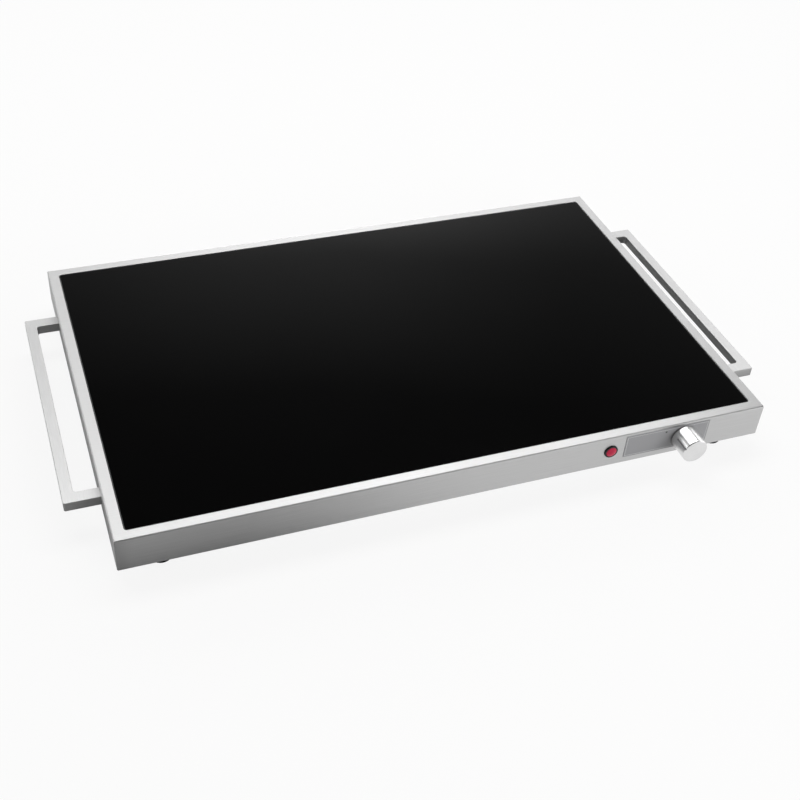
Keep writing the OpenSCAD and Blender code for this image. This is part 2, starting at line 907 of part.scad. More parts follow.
// Ceramic fibre mat, grooved on top for the sensor bulb and its capillary
module insulation_mat() {
    bulb_half = bulb_d / 2 + groove_slack;
    corner = capillary_bend + over;
    color("#e9e6dc")
        difference() {
            translate([0, 0, mat_z])
                slab(heater_w, heater_d, mat_t, ledge_r);
            lead_holes(lead_hole_d);
            translate([bulb_x - groove_slack, bulb_y - bulb_half, bulb_z - bulb_d / 2 - bulb_clear])
                cube([bulb_l + 2 * groove_slack, 2 * bulb_half, bulb_d + over]);
            translate([bulb_x + bulb_l - over, bulb_y - groove_w / 2, groove_z])
                cube([capillary_x - bulb_x - bulb_l - capillary_bend + over, groove_w, bulb_d]);
            translate([capillary_x - groove_w / 2, -heater_d / 2 - over, groove_z])
                cube([groove_w, heater_d / 2 + bulb_y - capillary_bend + over, bulb_d]);
            translate([capillary_x - corner, bulb_y - corner, groove_z])
                cube([corner + groove_w / 2, corner + groove_w / 2, bulb_d]);
            for (s = [-1, 1])
                translate([cutout_x, s * cutout_screw_y, mat_z - over])
                    cylinder(d = cutout_well_d, h = cutout_well_h + over);
        }
}

// Holes for the two leads up to the ribbon
module lead_holes(d) {
    for (p = lead_ends)
        translate([p[0], p[1], shield_z - over])
            cylinder(d = d, h = ribbon_z - shield_z + over);
}

// A shallow tray under the mat with a flange that hangs from the studs of the ledge
module heat_shield() {
    color(zinc)
        difference() {
            union() {
                translate([0, 0, shield_z])
                    slab(tray_w, tray_d, ledge_z - shield_z, ledge_r);
                translate([0, 0, ledge_z - shield_t])
                    slab(
                        ledge_open_w + 2 * flange_lap, ledge_open_d + 2 * flange_lap,
                        shield_t, ledge_r
                    );
            }
            translate([0, 0, mat_z])
                slab(
                    tray_w - 2 * shield_t, tray_d - 2 * shield_t,
                    ledge_z - mat_z + over, ledge_r - shield_t
                );
            lead_holes(lead_hole_d);
            for (p = stud_spots)
                translate([p[0], p[1], ledge_z - shield_t - over])
                    cylinder(d = m3 + 2 * hole_slack, h = shield_t + 2 * over);
            translate([capillary_x, -tray_d / 2 + shield_t / 2, bulb_z])
                rotate([90, 0, 0])
                    cylinder(d = capillary_hole_d, h = shield_t + 2 * over, center = true);
            for (s = [-1, 1])
                translate([cutout_x, s * cutout_screw_y, shield_z - over])
                    cylinder(d = m3 + 2 * fit, h = shield_t + 2 * over);
        }
}

module shield_nuts() {
    color(zinc)
        for (p = stud_spots)
            translate([p[0], p[1], ledge_z - shield_t - m3_nut_h])
                nut(m3, m3_nut_af, m3_nut_h);
}

// A bimetal cut-out under the heat shield, with two ears and a tab at each side
module thermal_cutout() {
    color("#2a2a2c")
        difference() {
            translate([cutout_x, 0, shield_z - cutout_h]) {
                cylinder(d = cutout_d, h = cutout_h);
                translate([0, 0, cutout_h - cutout_ear_t])
                    slab(cutout_ear_w, cutout_ear, cutout_ear_t, cutout_ear_r);
                translate([-cutout_tab_x, -tab_w / 2, cutout_tab_rise])
                    cube([2 * cutout_tab_x, tab_w, tab_t]);
            }
            for (s = [-1, 1])
                translate([cutout_x, s * cutout_screw_y, shield_z - cutout_ear_t - over])
                    cylinder(d = m3 + 2 * fit, h = cutout_ear_t + 2 * over);
        }
}

module cutout_screws() {
    color(zinc)
        for (s = [-1, 1])
            translate([cutout_x, s * cutout_screw_y, shield_z - cutout_ear_t])
                pan_screw(m3, cutout_screw_l, cutout_head, cutout_head_h);
}

// ---- Knob and thermostat ----

module control_label() {
    color("#929194")
        difference() {
            translate([label_x, front_y, top_z - label_drop - label_h / 2])
                rotate([90, 0, 0])
                    slab(label_w, label_h, label_t, label_r);
            forwards(knob_x, knob_z)
                translate([0, 0, -over])
                    cylinder(d = label_hole_d, h = label_t + 2 * over);
        }
}

// The turned knob: hollow at the back for the nut, bored for its hub, with a milled pointer groove
module control_knob() {
    r = knob_d / 2;
    color("#dcdcda")
        forwards(knob_x, knob_z)
            translate([0, 0, knob_back])
                difference() {
                    rotate_extrude($fn = 96)
                        polygon([
                            [0, hub_depth], [hub_d / 2 + fit, hub_depth], [hub_d / 2 + fit, knob_hollow],
                            [r - knob_wall, knob_hollow], [r - knob_wall, 0],
                            [r - knob_back_chamfer, 0], [r, knob_back_chamfer],
                            [r, knob_l - knob_chamfer], [r - knob_chamfer, knob_l], [0, knob_l]
                        ]);
                    rotate(off_angle)
                        translate([r - pointer_depth, -pointer_w / 2, knob_l - pointer_l])
                            cube([pointer_depth + over, pointer_w, pointer_l + over]);
                }
}

// The knob's moulded hub, with a flat-sided bore for the spindle and four ribs behind
module knob_hub() {
    color("#1d1d1f")
        forwards(knob_x, knob_z)
            difference() {
                translate([0, 0, bush_reach + hub_gap])
                    cylinder(d = hub_d, h = knob_back + hub_depth - bush_reach - hub_gap);
                intersection() {
                    translate([0, 0, knob_back])
                        cylinder(d = spindle_d + 2 * fit, h = spindle_reach - knob_back + 0.3);
                    rotate(off_angle)
                        translate([-spindle_d, -spindle_d, 0])
                            cube([spindle_flat + spindle_d / 2 + fit, 2 * spindle_d, knob_front]);
                }
            }
}

// The spindle: a flat-sided end in the hub, a journal in the bush and a cam disc inside the thermostat
module thermostat_spindle() {
    disc_from = -sheet_t - stat_face_t - slack;
    color(dark_steel)
        forwards(knob_x, knob_z)
            difference() {
                union() {
                    translate([0, 0, disc_from - disc_t])
                        cylinder(d = spindle_d, h = spindle_reach - disc_from + disc_t);
                    translate([0, 0, disc_from - disc_t])
                        cylinder(d = disc_d, h = disc_t);
                }
                rotate(off_angle)
                    translate([spindle_flat - spindle_d / 2, -spindle_d, flat_from])
                        cube([spindle_d, 2 * spindle_d, spindle_reach]);
            }
}

module thermostat_nut() {
    color(brass)
        forwards(knob_x, knob_z)
            nut(bush_d, bush_nut_af, bush_nut_t);
}

// The thermostat's steel cup with its threaded bush, open at the back
module thermostat_body() {
    color(zinc)
        difference() {
            union() {
                translate([knob_x - stat_w / 2, wall_y, stat_bottom_z])
                    cube([stat_w, stat_face_t + stat_cup, stat_h]);
                forwards(knob_x, knob_z)
                    translate([0, 0, -sheet_t - over])
                        cylinder(d = bush_d, h = sheet_t + over + bush_reach);
            }
            translate([knob_x - stat_w / 2 + stat_wall, wall_y + stat_face_t, stat_bottom_z + stat_wall])
                cube([stat_w - 2 * stat_wall, stat_cup + over, stat_h - 2 * stat_wall]);
            forwards(knob_x, knob_z)
                translate([0, 0, -sheet_t - stat_face_t - over])
                    cylinder(d = spindle_d + 2 * fit, h = sheet_t + stat_face_t + bush_reach + 2 * over);
        }
}

// The moulded switch base that closes the cup and holds the tabs
module thermostat_base() {
    color("#3a2a20")
        difference() {
            translate([knob_x - stat_w / 2, stat_back_y - stat_base_t, stat_bottom_z])
                cube([stat_w, stat_base_t, stat_h]);
            for (x = tab_xs)
                translate([knob_x + x, stat_back_y - tab_root, stat_tab_z])
                    translate([-tab_t / 2 - fit, 0, -tab_w / 2 - fit])
                        cube([tab_t + 2 * fit, tab_root + over, tab_w + 2 * fit]);
            translate([capillary_x, stat_back_y + over, bulb_z])
                rotate([90, 0, 0])
                    cylinder(d = capillary_d + 2 * fit, h = capillary_root + over);
        }
}

module thermostat_tabs() {
    color(brass)
        for (x = tab_xs)
            translate([knob_x + x - tab_t / 2, stat_back_y - tab_root, stat_tab_z - tab_w / 2])
                cube([tab_t, tab_root + tab_l, tab_w]);
}

// The liquid-filled bulb in the mat's groove and the thin tube to the thermostat
module sensor_bulb() {
    color("#b87a4b") {
        translate([bulb_x, bulb_y, bulb_z])
            rotate([0, 90, 0])
                cylinder(d = bulb_d, h = bulb_l);
        round_route([
            [bulb_x + bulb_l - over, bulb_y, bulb_z],
            [capillary_x, bulb_y, bulb_z],
            [capillary_x, stat_back_y - capillary_root, bulb_z]
        ], capillary_d, capillary_bend);
    }
}

// ---- Pilot light ----

// The bezel: a black flange with a chamfered edge on a barrel that passes through the wall
module pilot_bezel() {
    color("#141414")
        forwards(pilot_x, pilot_z)
            rotate_extrude()
                polygon([
                    [lamp_bore / 2, -barrel_l], [barrel_d / 2, -barrel_l], [barrel_d / 2, 0],
                    [pilot_d / 2, 0], [pilot_d / 2, bezel_t - bezel_chamfer],
                    [pilot_d / 2 - bezel_chamfer, bezel_t], [lens_d / 2 + fit, bezel_t],
                    [lens_d / 2 + fit, bezel_t - lens_head_t],
                    [lens_shank_d / 2 + fit, bezel_t - lens_head_t],
                    [lens_shank_d / 2 + fit, bezel_t - lens_seat],
                    [lamp_bore / 2, bezel_t - lens_seat]
                ]);
}

// The red lens: a domed head that lies in the bezel, on a shank that plugs into the barrel
module pilot_lens() {
    dome_r = (pow(lens_d / 2, 2) + pow(lens_rise, 2)) / (2 * lens_rise);
    color("#b92c4c")
        forwards(pilot_x, pilot_z)
            union() {
                translate([0, 0, bezel_t - lens_seat])
                    cylinder(d = lens_shank_d, h = lens_seat - lens_head_t / 2);
                intersection() {
                    translate([0, 0, bezel_t - lens_head_t])
                        cylinder(d = lens_d, h = lens_head_t + lens_rise);
                    translate([0, 0, bezel_t + lens_rise - dome_r])
                        sphere(dome_r);
                }
            }
}

// The neon lamp in its barrel, on a plug that carries the two wires
module pilot_lamp() {
    color("#d9a58a")
        forwards(pilot_x, pilot_z)
            union() {
                lamp_from = bezel_t - lens_seat - slack - lamp_l;
                translate([0, 0, lamp_from])
                    cylinder(d = lamp_d, h = lamp_l);
                translate([0, 0, -barrel_l])
                    cylinder(d = lamp_bore - 2 * fit, h = barrel_l + lamp_from + over);
            }
}

module pilot_nut() {
    color("#202022")
        inwards(pilot_x, pilot_z)
            difference() {
                cylinder(d = pilot_nut_d, h = pilot_nut_t, $fn = 12);
                translate([0, 0, -over])
                    cylinder(d = barrel_d + 2 * fit, h = pilot_nut_t + 2 * over);
            }
}

// ---- Mains inlet ----

// The socket's outline: a rectangle with its two upper corners cut off
module socket_outline(w, h, cut) {
    polygon([
        [-w / 2, -h / 2], [w / 2, -h / 2], [w / 2, h / 2 - cut],
        [w / 2 - cut, h / 2], [-w / 2 + cut, h / 2], [-w / 2, h / 2 - cut]
    ]);
}

// Turns a shape modelled along +Z so that it points backwards, out of the back wall
module out_of_back() {
    translate([inlet_x, back_y, inlet_z])
        rotate([90, 0, 180])
            children();
}

module mains_inlet() {
    color("#1a1a1b")
        out_of_back()
            difference() {
                union() {
                    slab(inlet_flange_w, inlet_flange_h, inlet_flange_t, inlet_flange_r);
                    translate([0, 0, inlet_flange_t - inlet_body_l])
                        slab(inlet_body_w, inlet_body_h, inlet_body_l, inlet_body_r);
                }
                translate([0, 0, inlet_flange_t - socket_depth])
                    linear_extrude(socket_depth + over)
                        socket_outline(socket_w, socket_h, socket_cut);
                for (p = pin_spots)
                    translate([p[0], p[1], inlet_flange_t - inlet_body_l / 2 - socket_depth / 2])
                        cube([pin_t + 2 * fit, pin_h + 2 * fit, inlet_body_l], center = true);
                for (s = [-1, 1])
                    translate([s * inlet_pitch / 2, 0, -over]) {
                        cylinder(d = m3 + 2 * hole_slack, h = inlet_flange_t + 2 * over);
                        translate([0, 0, over + inlet_flange_t - countersink_h])
                            cylinder(d1 = m3 + 2 * hole_slack, d2 = countersink_d, h = countersink_h);
                        translate([0, 0, over + inlet_flange_t])
                            cylinder(d = countersink_d, h = over);
                    }
            }
}

// Line, earth and neutral pins, each a blade with a tab behind
module inlet_pins() {
    color(brass)
        out_of_back()
            for (p = pin_spots)
                translate([p[0] - pin_t / 2, p[1] - pin_h / 2, inlet_flange_t - inlet_body_l - pin_tail])
                    cube([pin_t, pin_h, pin_tail + inlet_body_l - socket_depth + pin_l]);
}

module inlet_screws() {
    color(zinc)
        out_of_back()
            for (s = [-1, 1])
                translate([s * inlet_pitch / 2, 0, inlet_flange_t])
                    mirror([0, 0, 1])
                        flat_screw(m3, inlet_screw_l, inlet_screw_head);
}

// ---- Wiring ----

// A two-pole ceramic block on the base plate, with wire mouths through it and screw wells on top
module terminal_block() {
    color("#ece8df")
        translate([block_x, block_y, frame_z])
            difference() {
                slab(block_w, block_d, block_h, block_r);
                for (x = [-pole_dx, pole_dx])
                    translate([x, 0, low_z - frame_z])
                        rotate([90, 0, 0])
                            cylinder(d = mouth_d, h = block_d + 2 * over, center = true);
                for (x = [-pole_dx, pole_dx], y = [-1, 1])
                    translate([x, y * block_d / 4, low_z - frame_z])
                        cylinder(d = m4 + 2 * fit, h = block_h);
                translate([0, 0, -over])
                    cylinder(d = m3 + 2 * fit, h = block_h + 2 * over, $fn = 24);
            }
}

module terminal_screws() {
    color(brass)
        for (x = [-pole_dx, pole_dx], y = [-1, 1])
            translate([block_x + x, block_y + y * block_d / 4, low_z + wire_d / 2])
                cylinder(d = m4, h = terminal_screw_rise - wire_d / 2);
}

module block_screw() {
    color(zinc)
        translate([block_x, block_y, foot_h])
            pan_screw(m3, plate_t + block_h - block_grip, m3_head, m3_head_h);
}

// Line: from the inlet to the thermostat, and from the thermostat to the block
module line_wires() {
    line_x = inlet_x + pin_spots[2][0];
    line_z = inlet_z + pin_spots[2][1];
    stat_end = stat_back_y + tab_l;
    rise_y = stat_end + wire_bend + 0.5;
    tab_x = knob_x + tab_xs[1];
    block_in_x = block_x - pole_dx - mouth_dx;
    turn_y = block_y - block_run;
    color("#6b3f22") {
        round_route([
            [line_x, tail_y, line_z], [line_x, drop_y, line_z], [line_x, drop_y, low_z],
            [line_x, rise_y, low_z], [line_x, rise_y, stat_tab_z], [line_x, stat_end, stat_tab_z]
        ], wire_d, wire_bend);
        round_route([
            [tab_x, stat_end, stat_tab_z], [tab_x, turn_y, stat_tab_z],
            [block_in_x, turn_y, stat_tab_z], [block_in_x, turn_y, low_z],
            [block_in_x, block_y - block_grip, low_z]
        ], wire_d, wire_bend);
    }
}

module neutral_wire() {
    neutral_x = inlet_x + pin_spots[0][0];
    neutral_z = inlet_z + pin_spots[0][1];
    block_in_x = block_x + pole_dx + mouth_dx;
    turn_y = block_y + block_run;
    color("#2b5fa8")
        round_route([
            [neutral_x, tail_y, neutral_z], [neutral_x, drop_y, neutral_z], [neutral_x, drop_y, low_z],
            [neutral_x, turn_y, low_z], [block_in_x, turn_y, low_z],
            [block_in_x, block_y + block_grip, low_z]
        ], wire_d, wire_bend);
}

// Earth: from the inlet to a ring lug on the base plate's stud
module earth_wire() {
    earth_z = inlet_z + pin_spots[1][1];
    color("#7fae3a") {
        round_route([
            [inlet_x, tail_y, earth_z], [inlet_x, drop_y, earth_z],
            [inlet_x, drop_y, earth_wire_z], [inlet_x, earth_y + lug_crimp, earth_wire_z]
        ], wire_d, wire_bend);
        difference() {
            union() {
                translate([inlet_x, earth_y, frame_z])
                    cylinder(d = lug_d, h = lug_t);
                translate([inlet_x - lug_tail_w / 2, earth_y, frame_z])
                    cube([lug_tail_w, lug_tail_l, lug_t]);
            }
            translate([inlet_x, earth_y, frame_z - over])
                cylinder(d = m4 + 2 * fit, h = lug_t + 2 * over);
        }
    }
}

module earth_nut() {
    color(zinc)
        translate([inlet_x, earth_y, frame_z + lug_t])
            nut(m4, m4_nut_af, m4_nut_h);
}

// Two thin wires from the pilot light to the block, one to each pole
module lamp_wires() {
    start_y = front_y + barrel_l;
    color("#b8b8b0")
        for (s = [-1, 1]) {
            side_x = pilot_x + s * lamp_wire_dx;
            end_x = block_x + s * (pole_dx - mouth_dx);
            run_y = block_y - lamp_run - s * lamp_stagger;
            dip_y = run_y - lamp_dip;
            round_route([
                [side_x, start_y, pilot_z], [side_x, dip_y, pilot_z], [side_x, dip_y, low_z],
                [side_x, run_y, low_z], [end_x, run_y, low_z], [end_x, block_y - block_grip, low_z]
            ], lamp_wire_d, wire_bend);
        }
}

// Sleeved leads: block to cut-out, cut-out to the ribbon's front end, and block to its back end
module heater_leads() {
    near_x = block_x - pole_dx;
    far_x = block_x + pole_dx - mouth_dx;
    block_out_y = block_y + block_grip;
    right_x = cutout_x + cutout_tab_x;
    left_x = cutout_x - cutout_tab_x;
    color("#d8d4c8") {
        round_route([
            [near_x, block_out_y, low_z], [near_x, 0, low_z], [near_x, 0, cutout_tab_z],
            [right_x, 0, cutout_tab_z]
        ], lead_d, wire_bend);
        round_route([
            [left_x, 0, cutout_tab_z], [left_x - cutout_tail, 0, cutout_tab_z],
            [left_x - cutout_tail, lead_low_y, cutout_tab_z], [ribbon_x, lead_low_y, cutout_tab_z],
            [ribbon_x, ribbon_first_y, cutout_tab_z], [ribbon_x, ribbon_first_y, ribbon_z]
        ], lead_d, wire_bend);
        round_route([
            [far_x, block_out_y, low_z], [far_x, lead_high_y, low_z], [far_x, lead_high_y, high_z],
            [ribbon_x, lead_high_y, high_z], [ribbon_x, -ribbon_first_y, high_z],
            [ribbon_x, -ribbon_first_y, ribbon_z]
        ], lead_d, wire_bend);
    }
}

housing();
glass_top();
glass_gasket();
handle_left();
handle_right();
handle_screws();
handle_washers();
base_plate();
base_screws();
feet();
foot_screws();
foot_nuts();
mica_upper();
heating_ribbon();
mica_lower();
insulation_mat();
heat_shield();
shield_nuts();
control_label();
control_knob();
knob_hub();
thermostat_spindle();
thermostat_nut();
thermostat_body();
thermostat_base();
thermostat_tabs();
sensor_bulb();
pilot_bezel();
pilot_lens();
pilot_lamp();
pilot_nut();
thermal_cutout();
cutout_screws();
terminal_block();
terminal_screws();
block_screw();
mains_inlet();
inlet_pins();
inlet_screws();
line_wires();
neutral_wire();
earth_wire();
earth_nut();
lamp_wires();
heater_leads();
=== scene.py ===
# %% [markdown]
# # An electric food warmer tray in Blender
# The object is a low warming tray: a folded stainless frame with a flush black glass top, a bar handle
# at each end, a turned aluminium knob, a grey control label and a red pilot light.
# Its construction is already settled in CAD, so the first cell loads that model as a fixed frame.
# Every piece made below is set in the same place, in metres, and rides on one of the frame's bodies.
# Each CAD node names the material slot it takes its finish from. Those names are noted, and the plain
# imported materials get a prefix, so that the real finishes can have the names.

# %% Load the frame
import math
import bmesh
import bpy
from mathutils import Matrix, Vector


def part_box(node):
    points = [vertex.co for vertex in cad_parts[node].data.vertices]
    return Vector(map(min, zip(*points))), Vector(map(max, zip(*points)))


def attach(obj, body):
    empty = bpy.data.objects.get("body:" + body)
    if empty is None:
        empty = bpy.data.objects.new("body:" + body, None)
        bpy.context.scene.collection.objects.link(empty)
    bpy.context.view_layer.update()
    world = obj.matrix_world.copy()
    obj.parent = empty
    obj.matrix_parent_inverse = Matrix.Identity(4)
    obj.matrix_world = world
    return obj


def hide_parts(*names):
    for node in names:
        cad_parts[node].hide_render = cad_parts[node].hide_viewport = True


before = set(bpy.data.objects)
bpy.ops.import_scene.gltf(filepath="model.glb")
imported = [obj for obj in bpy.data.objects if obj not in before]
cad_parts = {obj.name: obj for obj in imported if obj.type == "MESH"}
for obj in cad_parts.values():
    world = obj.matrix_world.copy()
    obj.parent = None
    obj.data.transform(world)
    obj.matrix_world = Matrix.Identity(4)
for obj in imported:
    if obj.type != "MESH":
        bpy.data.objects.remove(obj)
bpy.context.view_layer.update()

MM = 0.001
node_slots = {name: shown.data.materials[0].name for name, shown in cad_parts.items()}
for material in list(bpy.data.materials):
    material.name = "cad_" + material.name

# %% [markdown]
# ## Sizes that come from the frame
# Each piece is sized from the box of the CAD node it stands for, so nothing has to be fitted by eye.
# A box is a pair of corners, the lowest and the highest. Only what a box can't tell, such as the
# thickness of the sheet, is written here as a real size.

# %% Read the boxes
body_low, body_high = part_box("housing")
glass_low, glass_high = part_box("glass_top")
plate_low, plate_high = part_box("base_plate")
label_low, label_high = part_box("control_label")
knob_low, knob_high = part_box("control_knob")
bezel_low, bezel_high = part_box("pilot_bezel")
lens_low, lens_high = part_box("pilot_lens")
foot_top_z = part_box("feet")[1].z

top_z = body_high.z
front_y = body_low.y
knob_axis = (knob_low + knob_high) / 2
bezel_axis = (bezel_low + bezel_high) / 2
sheet_t = 1.2 * MM
bend_r = 1.3 * MM
rim_w = 10 * MM
rim_corner_r = 3 * MM
print("frame", [round(v / MM, 1) for v in body_high - body_low], "mm, top at", round(top_z / MM, 1))

# %% [markdown]
# ## The camera
# The photograph looks down on the tray from the left of its front, with a longish lens. The camera
# stands at a real place, aims at a point on the top and is rolled a few degrees, as it was by hand.

# %% Set the camera
camera = bpy.data.objects.new("camera", bpy.data.cameras.new("camera"))
bpy.context.scene.collection.objects.link(camera)
bpy.context.scene.camera = camera
camera.data.sensor_width = 36
camera.data.lens = 54.579
stand = Vector((-0.350967, -0.868477, 0.755118))
aim = Vector((-0.024258, -0.091843, 0.0434))
roll = math.radians(4.556)
level = (aim - stand).to_track_quat("-Z", "Y").to_matrix().to_4x4()
camera.matrix_world = Matrix.Translation(stand) @ level @ Matrix.Rotation(roll, 4, "Z")
print("camera", round((aim - stand).length, 3), "m from the point it looks at")

# %% [markdown]
# ## Colours and nodes
# Colours are written as the hex values that a paint chart or an image editor shows. Those are sRGB,
# and the renderer works in linear light, so one function turns them.
# A material is a small graph. One helper adds a node, sets its properties and fills its sockets: a
# value goes in as it is, and another node's output is linked.

# %% Helpers for materials
def colour(code):
    """A hex colour such as "#c8c8c6" as linear red, green, blue and alpha."""
    parts = [int(code[i:i + 2], 16) / 255 for i in (1, 3, 5)]
    return [p / 12.92 if p <= 0.04045 else ((p + 0.055) / 1.055) ** 2.4 for p in parts] + [1]


def add(tree, kind, sockets=None, **settings):
    """Adds a node to the graph. Sockets maps an input's name or number to a value or an output."""
    made = tree.nodes.new("ShaderNode" + kind)
    for name, value in settings.items():
        setattr(made, name, value)
    for name, value in (sockets or {}).items():
        if isinstance(value, bpy.types.NodeSocket):
            tree.links.new(value, made.inputs[name])
        else:
            made.inputs[name].default_value = value
    return made


def new_material(name):
    """An empty material and its graph."""
    material = bpy.data.materials.new(name)
    material.use_nodes = True
    material.node_tree.nodes.clear()
    return material, material.node_tree


def blend_colours(tree, factor, dark, light):
    """A mix of two hex colours, steered by a factor from 0 to 1."""
    ramp = add(tree, "ValToRGB", {"Fac": factor})
    ramp.color_ramp.elements[0].color = colour(dark)
    ramp.color_ramp.elements[1].color = colour(light)
    return ramp


def spread(tree, value, low, high):
    """Maps a value from 0..1 onto low..high."""
    return add(tree, "MapRange", {"Value": value, "To Min": low, "To Max": high}).outputs["Result"]


# %% [markdown]
# ## Brushed stainless steel
# The frame is 18/10 stainless, belt-ground with about 240 grit and folded. The belt leaves fine
# parallel scratches, so a highlight stretches across the grain and stays tight along it. That is
# anisotropy, and it needs a direction: each piece gets a UV map called grain, whose U runs along the
# scratches, and a quarter turn lays the stretched highlight across them. Real scratches are about
# 0.1 mm wide, too fine for the picture, so they are drawn 0.6 mm on the frame and 0.5 mm on the
# handles. The handles are rubbed by hand with short strokes, which spreads light almost evenly.

# %% Brushed stainless steel
def brushed_steel(name, dark, light, rough, stretch_of_light, grain_w, grain_l):
    """Stainless with scratches along U; grain_w and grain_l are their width and length in mm."""
    material, tree = new_material(name)
    flow = add(tree, "UVMap", uv_map="grain").outputs["UV"]
    stretch = add(tree, "Mapping", {"Vector": flow, "Scale": (1000 / grain_l, 1000 / grain_w, 1)})
    scratch = add(tree, "TexNoise", {
        "Vector": stretch.outputs[0], "Scale": 1, "Detail": 3, "Roughness": 0.6,
    }, noise_dimensions="2D").outputs["Fac"]
    place = add(tree, "TexCoord").outputs["Object"]
    cloud = add(tree, "TexNoise", {"Vector": place, "Scale": 9, "Detail": 2}).outputs["Fac"]
    tone = blend_colours(tree, scratch, dark, light)
    tone.color_ramp.elements[0].position = 0.25
    tone.color_ramp.elements[1].position = 0.75
    gloss = add(tree, "Math", {
        0: spread(tree, scratch, rough - 0.05, rough + 0.05),
        1: spread(tree, cloud, -0.03, 0.03),
    }, operation="ADD").outputs[0]
    bump = add(tree, "Bump", {"Height": scratch, "Strength": 0.16, "Distance": 0.03 * MM})
    along = add(tree, "Tangent", direction_type="UV_MAP", uv_map="grain").outputs[0]
    shader = add(tree, "BsdfPrincipled", {
        "Base Color": tone.outputs[0], "Metallic": 1, "Roughness": gloss,
        "Anisotropic": stretch_of_light, "Anisotropic Rotation": 0.25, "Tangent": along,
        "Normal": bump.outputs[0],
    })
    add(tree, "OutputMaterial", {"Surface": shader.outputs[0]})
    return material


brushed_stainless = brushed_steel("brushed_stainless", "#bcbcbc", "#c6c6c6", 0.4, 0.75, 0.6, 60)
satin_stainless = brushed_steel("satin_stainless", "#bebebe", "#cacaca", 0.46, 0.1, 0.5, 20)
print("made", brushed_stainless.name, "and", satin_stainless.name)

# %% [markdown]
# ## Black glass
# The top is toughened glass that is black all through, polished, with a fine printed dot pattern that
# only shows close up. A dielectric needs no metallic value: its IOR of 1.52 gives the faint mirror
# image by itself. Two wave textures, one across the other, make the dots, 2 mm apart.

# %% Black glass
black_glass, tree = new_material("black_glass")
place = add(tree, "TexCoord").outputs["Object"]
dot_pitch = 2 * MM
rows = [
    add(tree, "TexWave", {"Vector": place, "Scale": 2 * math.pi / 20 / dot_pitch, "Distortion": 0},
        wave_type="BANDS", bands_direction=axis).outputs["Fac"]
    for axis in ("X", "Y")
]
dots = add(tree, "Math", {0: rows[0], 1: rows[1]}, operation="MULTIPLY").outputs[0]
tone = blend_colours(tree, dots, "#020202", "#0b0b0c")
tone.color_ramp.elements[0].position = 0.35
smear = add(tree, "TexNoise", {"Vector": place, "Scale": 14, "Detail": 3}).outputs["Fac"]
shader = add(tree, "BsdfPrincipled", {
    "Base Color": tone.outputs[0], "Roughness": spread(tree, smear, 0.03, 0.08), "IOR": 1.52,
})
add(tree, "OutputMaterial", {"Surface": shader.outputs[0]})
print("black glass with dots", dot_pitch / MM, "mm apart")

# %% [markdown]
# The arris of the glass is ground, not polished, so it is the same glass with a matt, greyish skin. The
# pointer's paint is a grey enamel. Both are small, so a fine noise in tone and gloss is enough.

# %% Ground glass and pointer paint
def fine_coating(name, dark, light, rough, size):
    """A thin matt coat with a fine grain, size in mm."""
    material, tree = new_material(name)
    place = add(tree, "TexCoord").outputs["Object"]
    grain = add(tree, "TexNoise", {"Vector": place, "Scale": 1 / (size * MM), "Detail": 2}).outputs["Fac"]
    tone = blend_colours(tree, grain, dark, light)
    shader = add(tree, "BsdfPrincipled", {
        "Base Color": tone.outputs[0], "Roughness": spread(tree, grain, rough - 0.05, rough + 0.05),
    })
    add(tree, "OutputMaterial", {"Surface": shader.outputs[0]})
    return material


ground_glass = fine_coating("ground_glass", "#2c2c2e", "#3c3c3e", 0.45, 0.4)
pointer_paint = fine_coating("pointer_paint", "#8a8a8c", "#98989a", 0.4, 0.5)
print("ground glass and pointer paint")

# %% [markdown]
# ## Turned aluminium
# The knob is turned from bar and clear anodised. The lathe tool leaves fine rings round its axis, so
# the highlight fans out across them, and U of its grain map runs round the knob. The rings are 0.06 mm
# apart on the real one and 0.5 mm here, so that they show.

# %% Turned aluminium
knob_aluminium, tree = new_material("knob_aluminium")
flow = add(tree, "UVMap", uv_map="grain").outputs["UV"]
stretch = add(tree, "Mapping", {"Vector": flow, "Scale": (1000 / 30, 1000 / 0.5, 1)})
ring = add(tree, "TexNoise", {
    "Vector": stretch.outputs[0], "Scale": 1, "Detail": 2, "Roughness": 0.5,
}, noise_dimensions="2D").outputs["Fac"]
tone = blend_colours(tree, ring, "#dadada", "#e6e6e6")
bump = add(tree, "Bump", {"Height": ring, "Strength": 0.2, "Distance": 0.02 * MM})
along = add(tree, "Tangent", direction_type="UV_MAP", uv_map="grain").outputs[0]
shader = add(tree, "BsdfPrincipled", {
    "Base Color": tone.outputs[0], "Metallic": 1, "Roughness": spread(tree, ring, 0.27, 0.36),
    "Anisotropic": 0.5, "Anisotropic Rotation": 0.25, "Tangent": along, "Normal": bump.outputs[0],
})
add(tree, "OutputMaterial", {"Surface": shader.outputs[0]})
print("turned aluminium")

# %% [markdown]
# ## The control label
# A polyester film with a satin face, printed grey. It carries a thin paler line inside its edge and a
# dark dot for the off position, which are faces of the label's own mesh with finishes of their own.

# %% Label film and its inks
def printed_film(name, dark, light, rough):
    """Satin film: a very fine grain in tone and gloss, as ink on a textured sheet has."""
    material, tree = new_material(name)
    place = add(tree, "TexCoord").outputs["Object"]
    grain = add(tree, "TexNoise", {"Vector": place, "Scale": 2600, "Detail": 2}).outputs["Fac"]
    tone = blend_colours(tree, grain, dark, light)
    bump = add(tree, "Bump", {"Height": grain, "Strength": 0.15, "Distance": 0.02 * MM})
    shader = add(tree, "BsdfPrincipled", {
        "Base Color": tone.outputs[0], "Roughness": spread(tree, grain, rough - 0.04, rough + 0.04),
        "Normal": bump.outputs[0],
    })
    add(tree, "OutputMaterial", {"Surface": shader.outputs[0]})
    return material


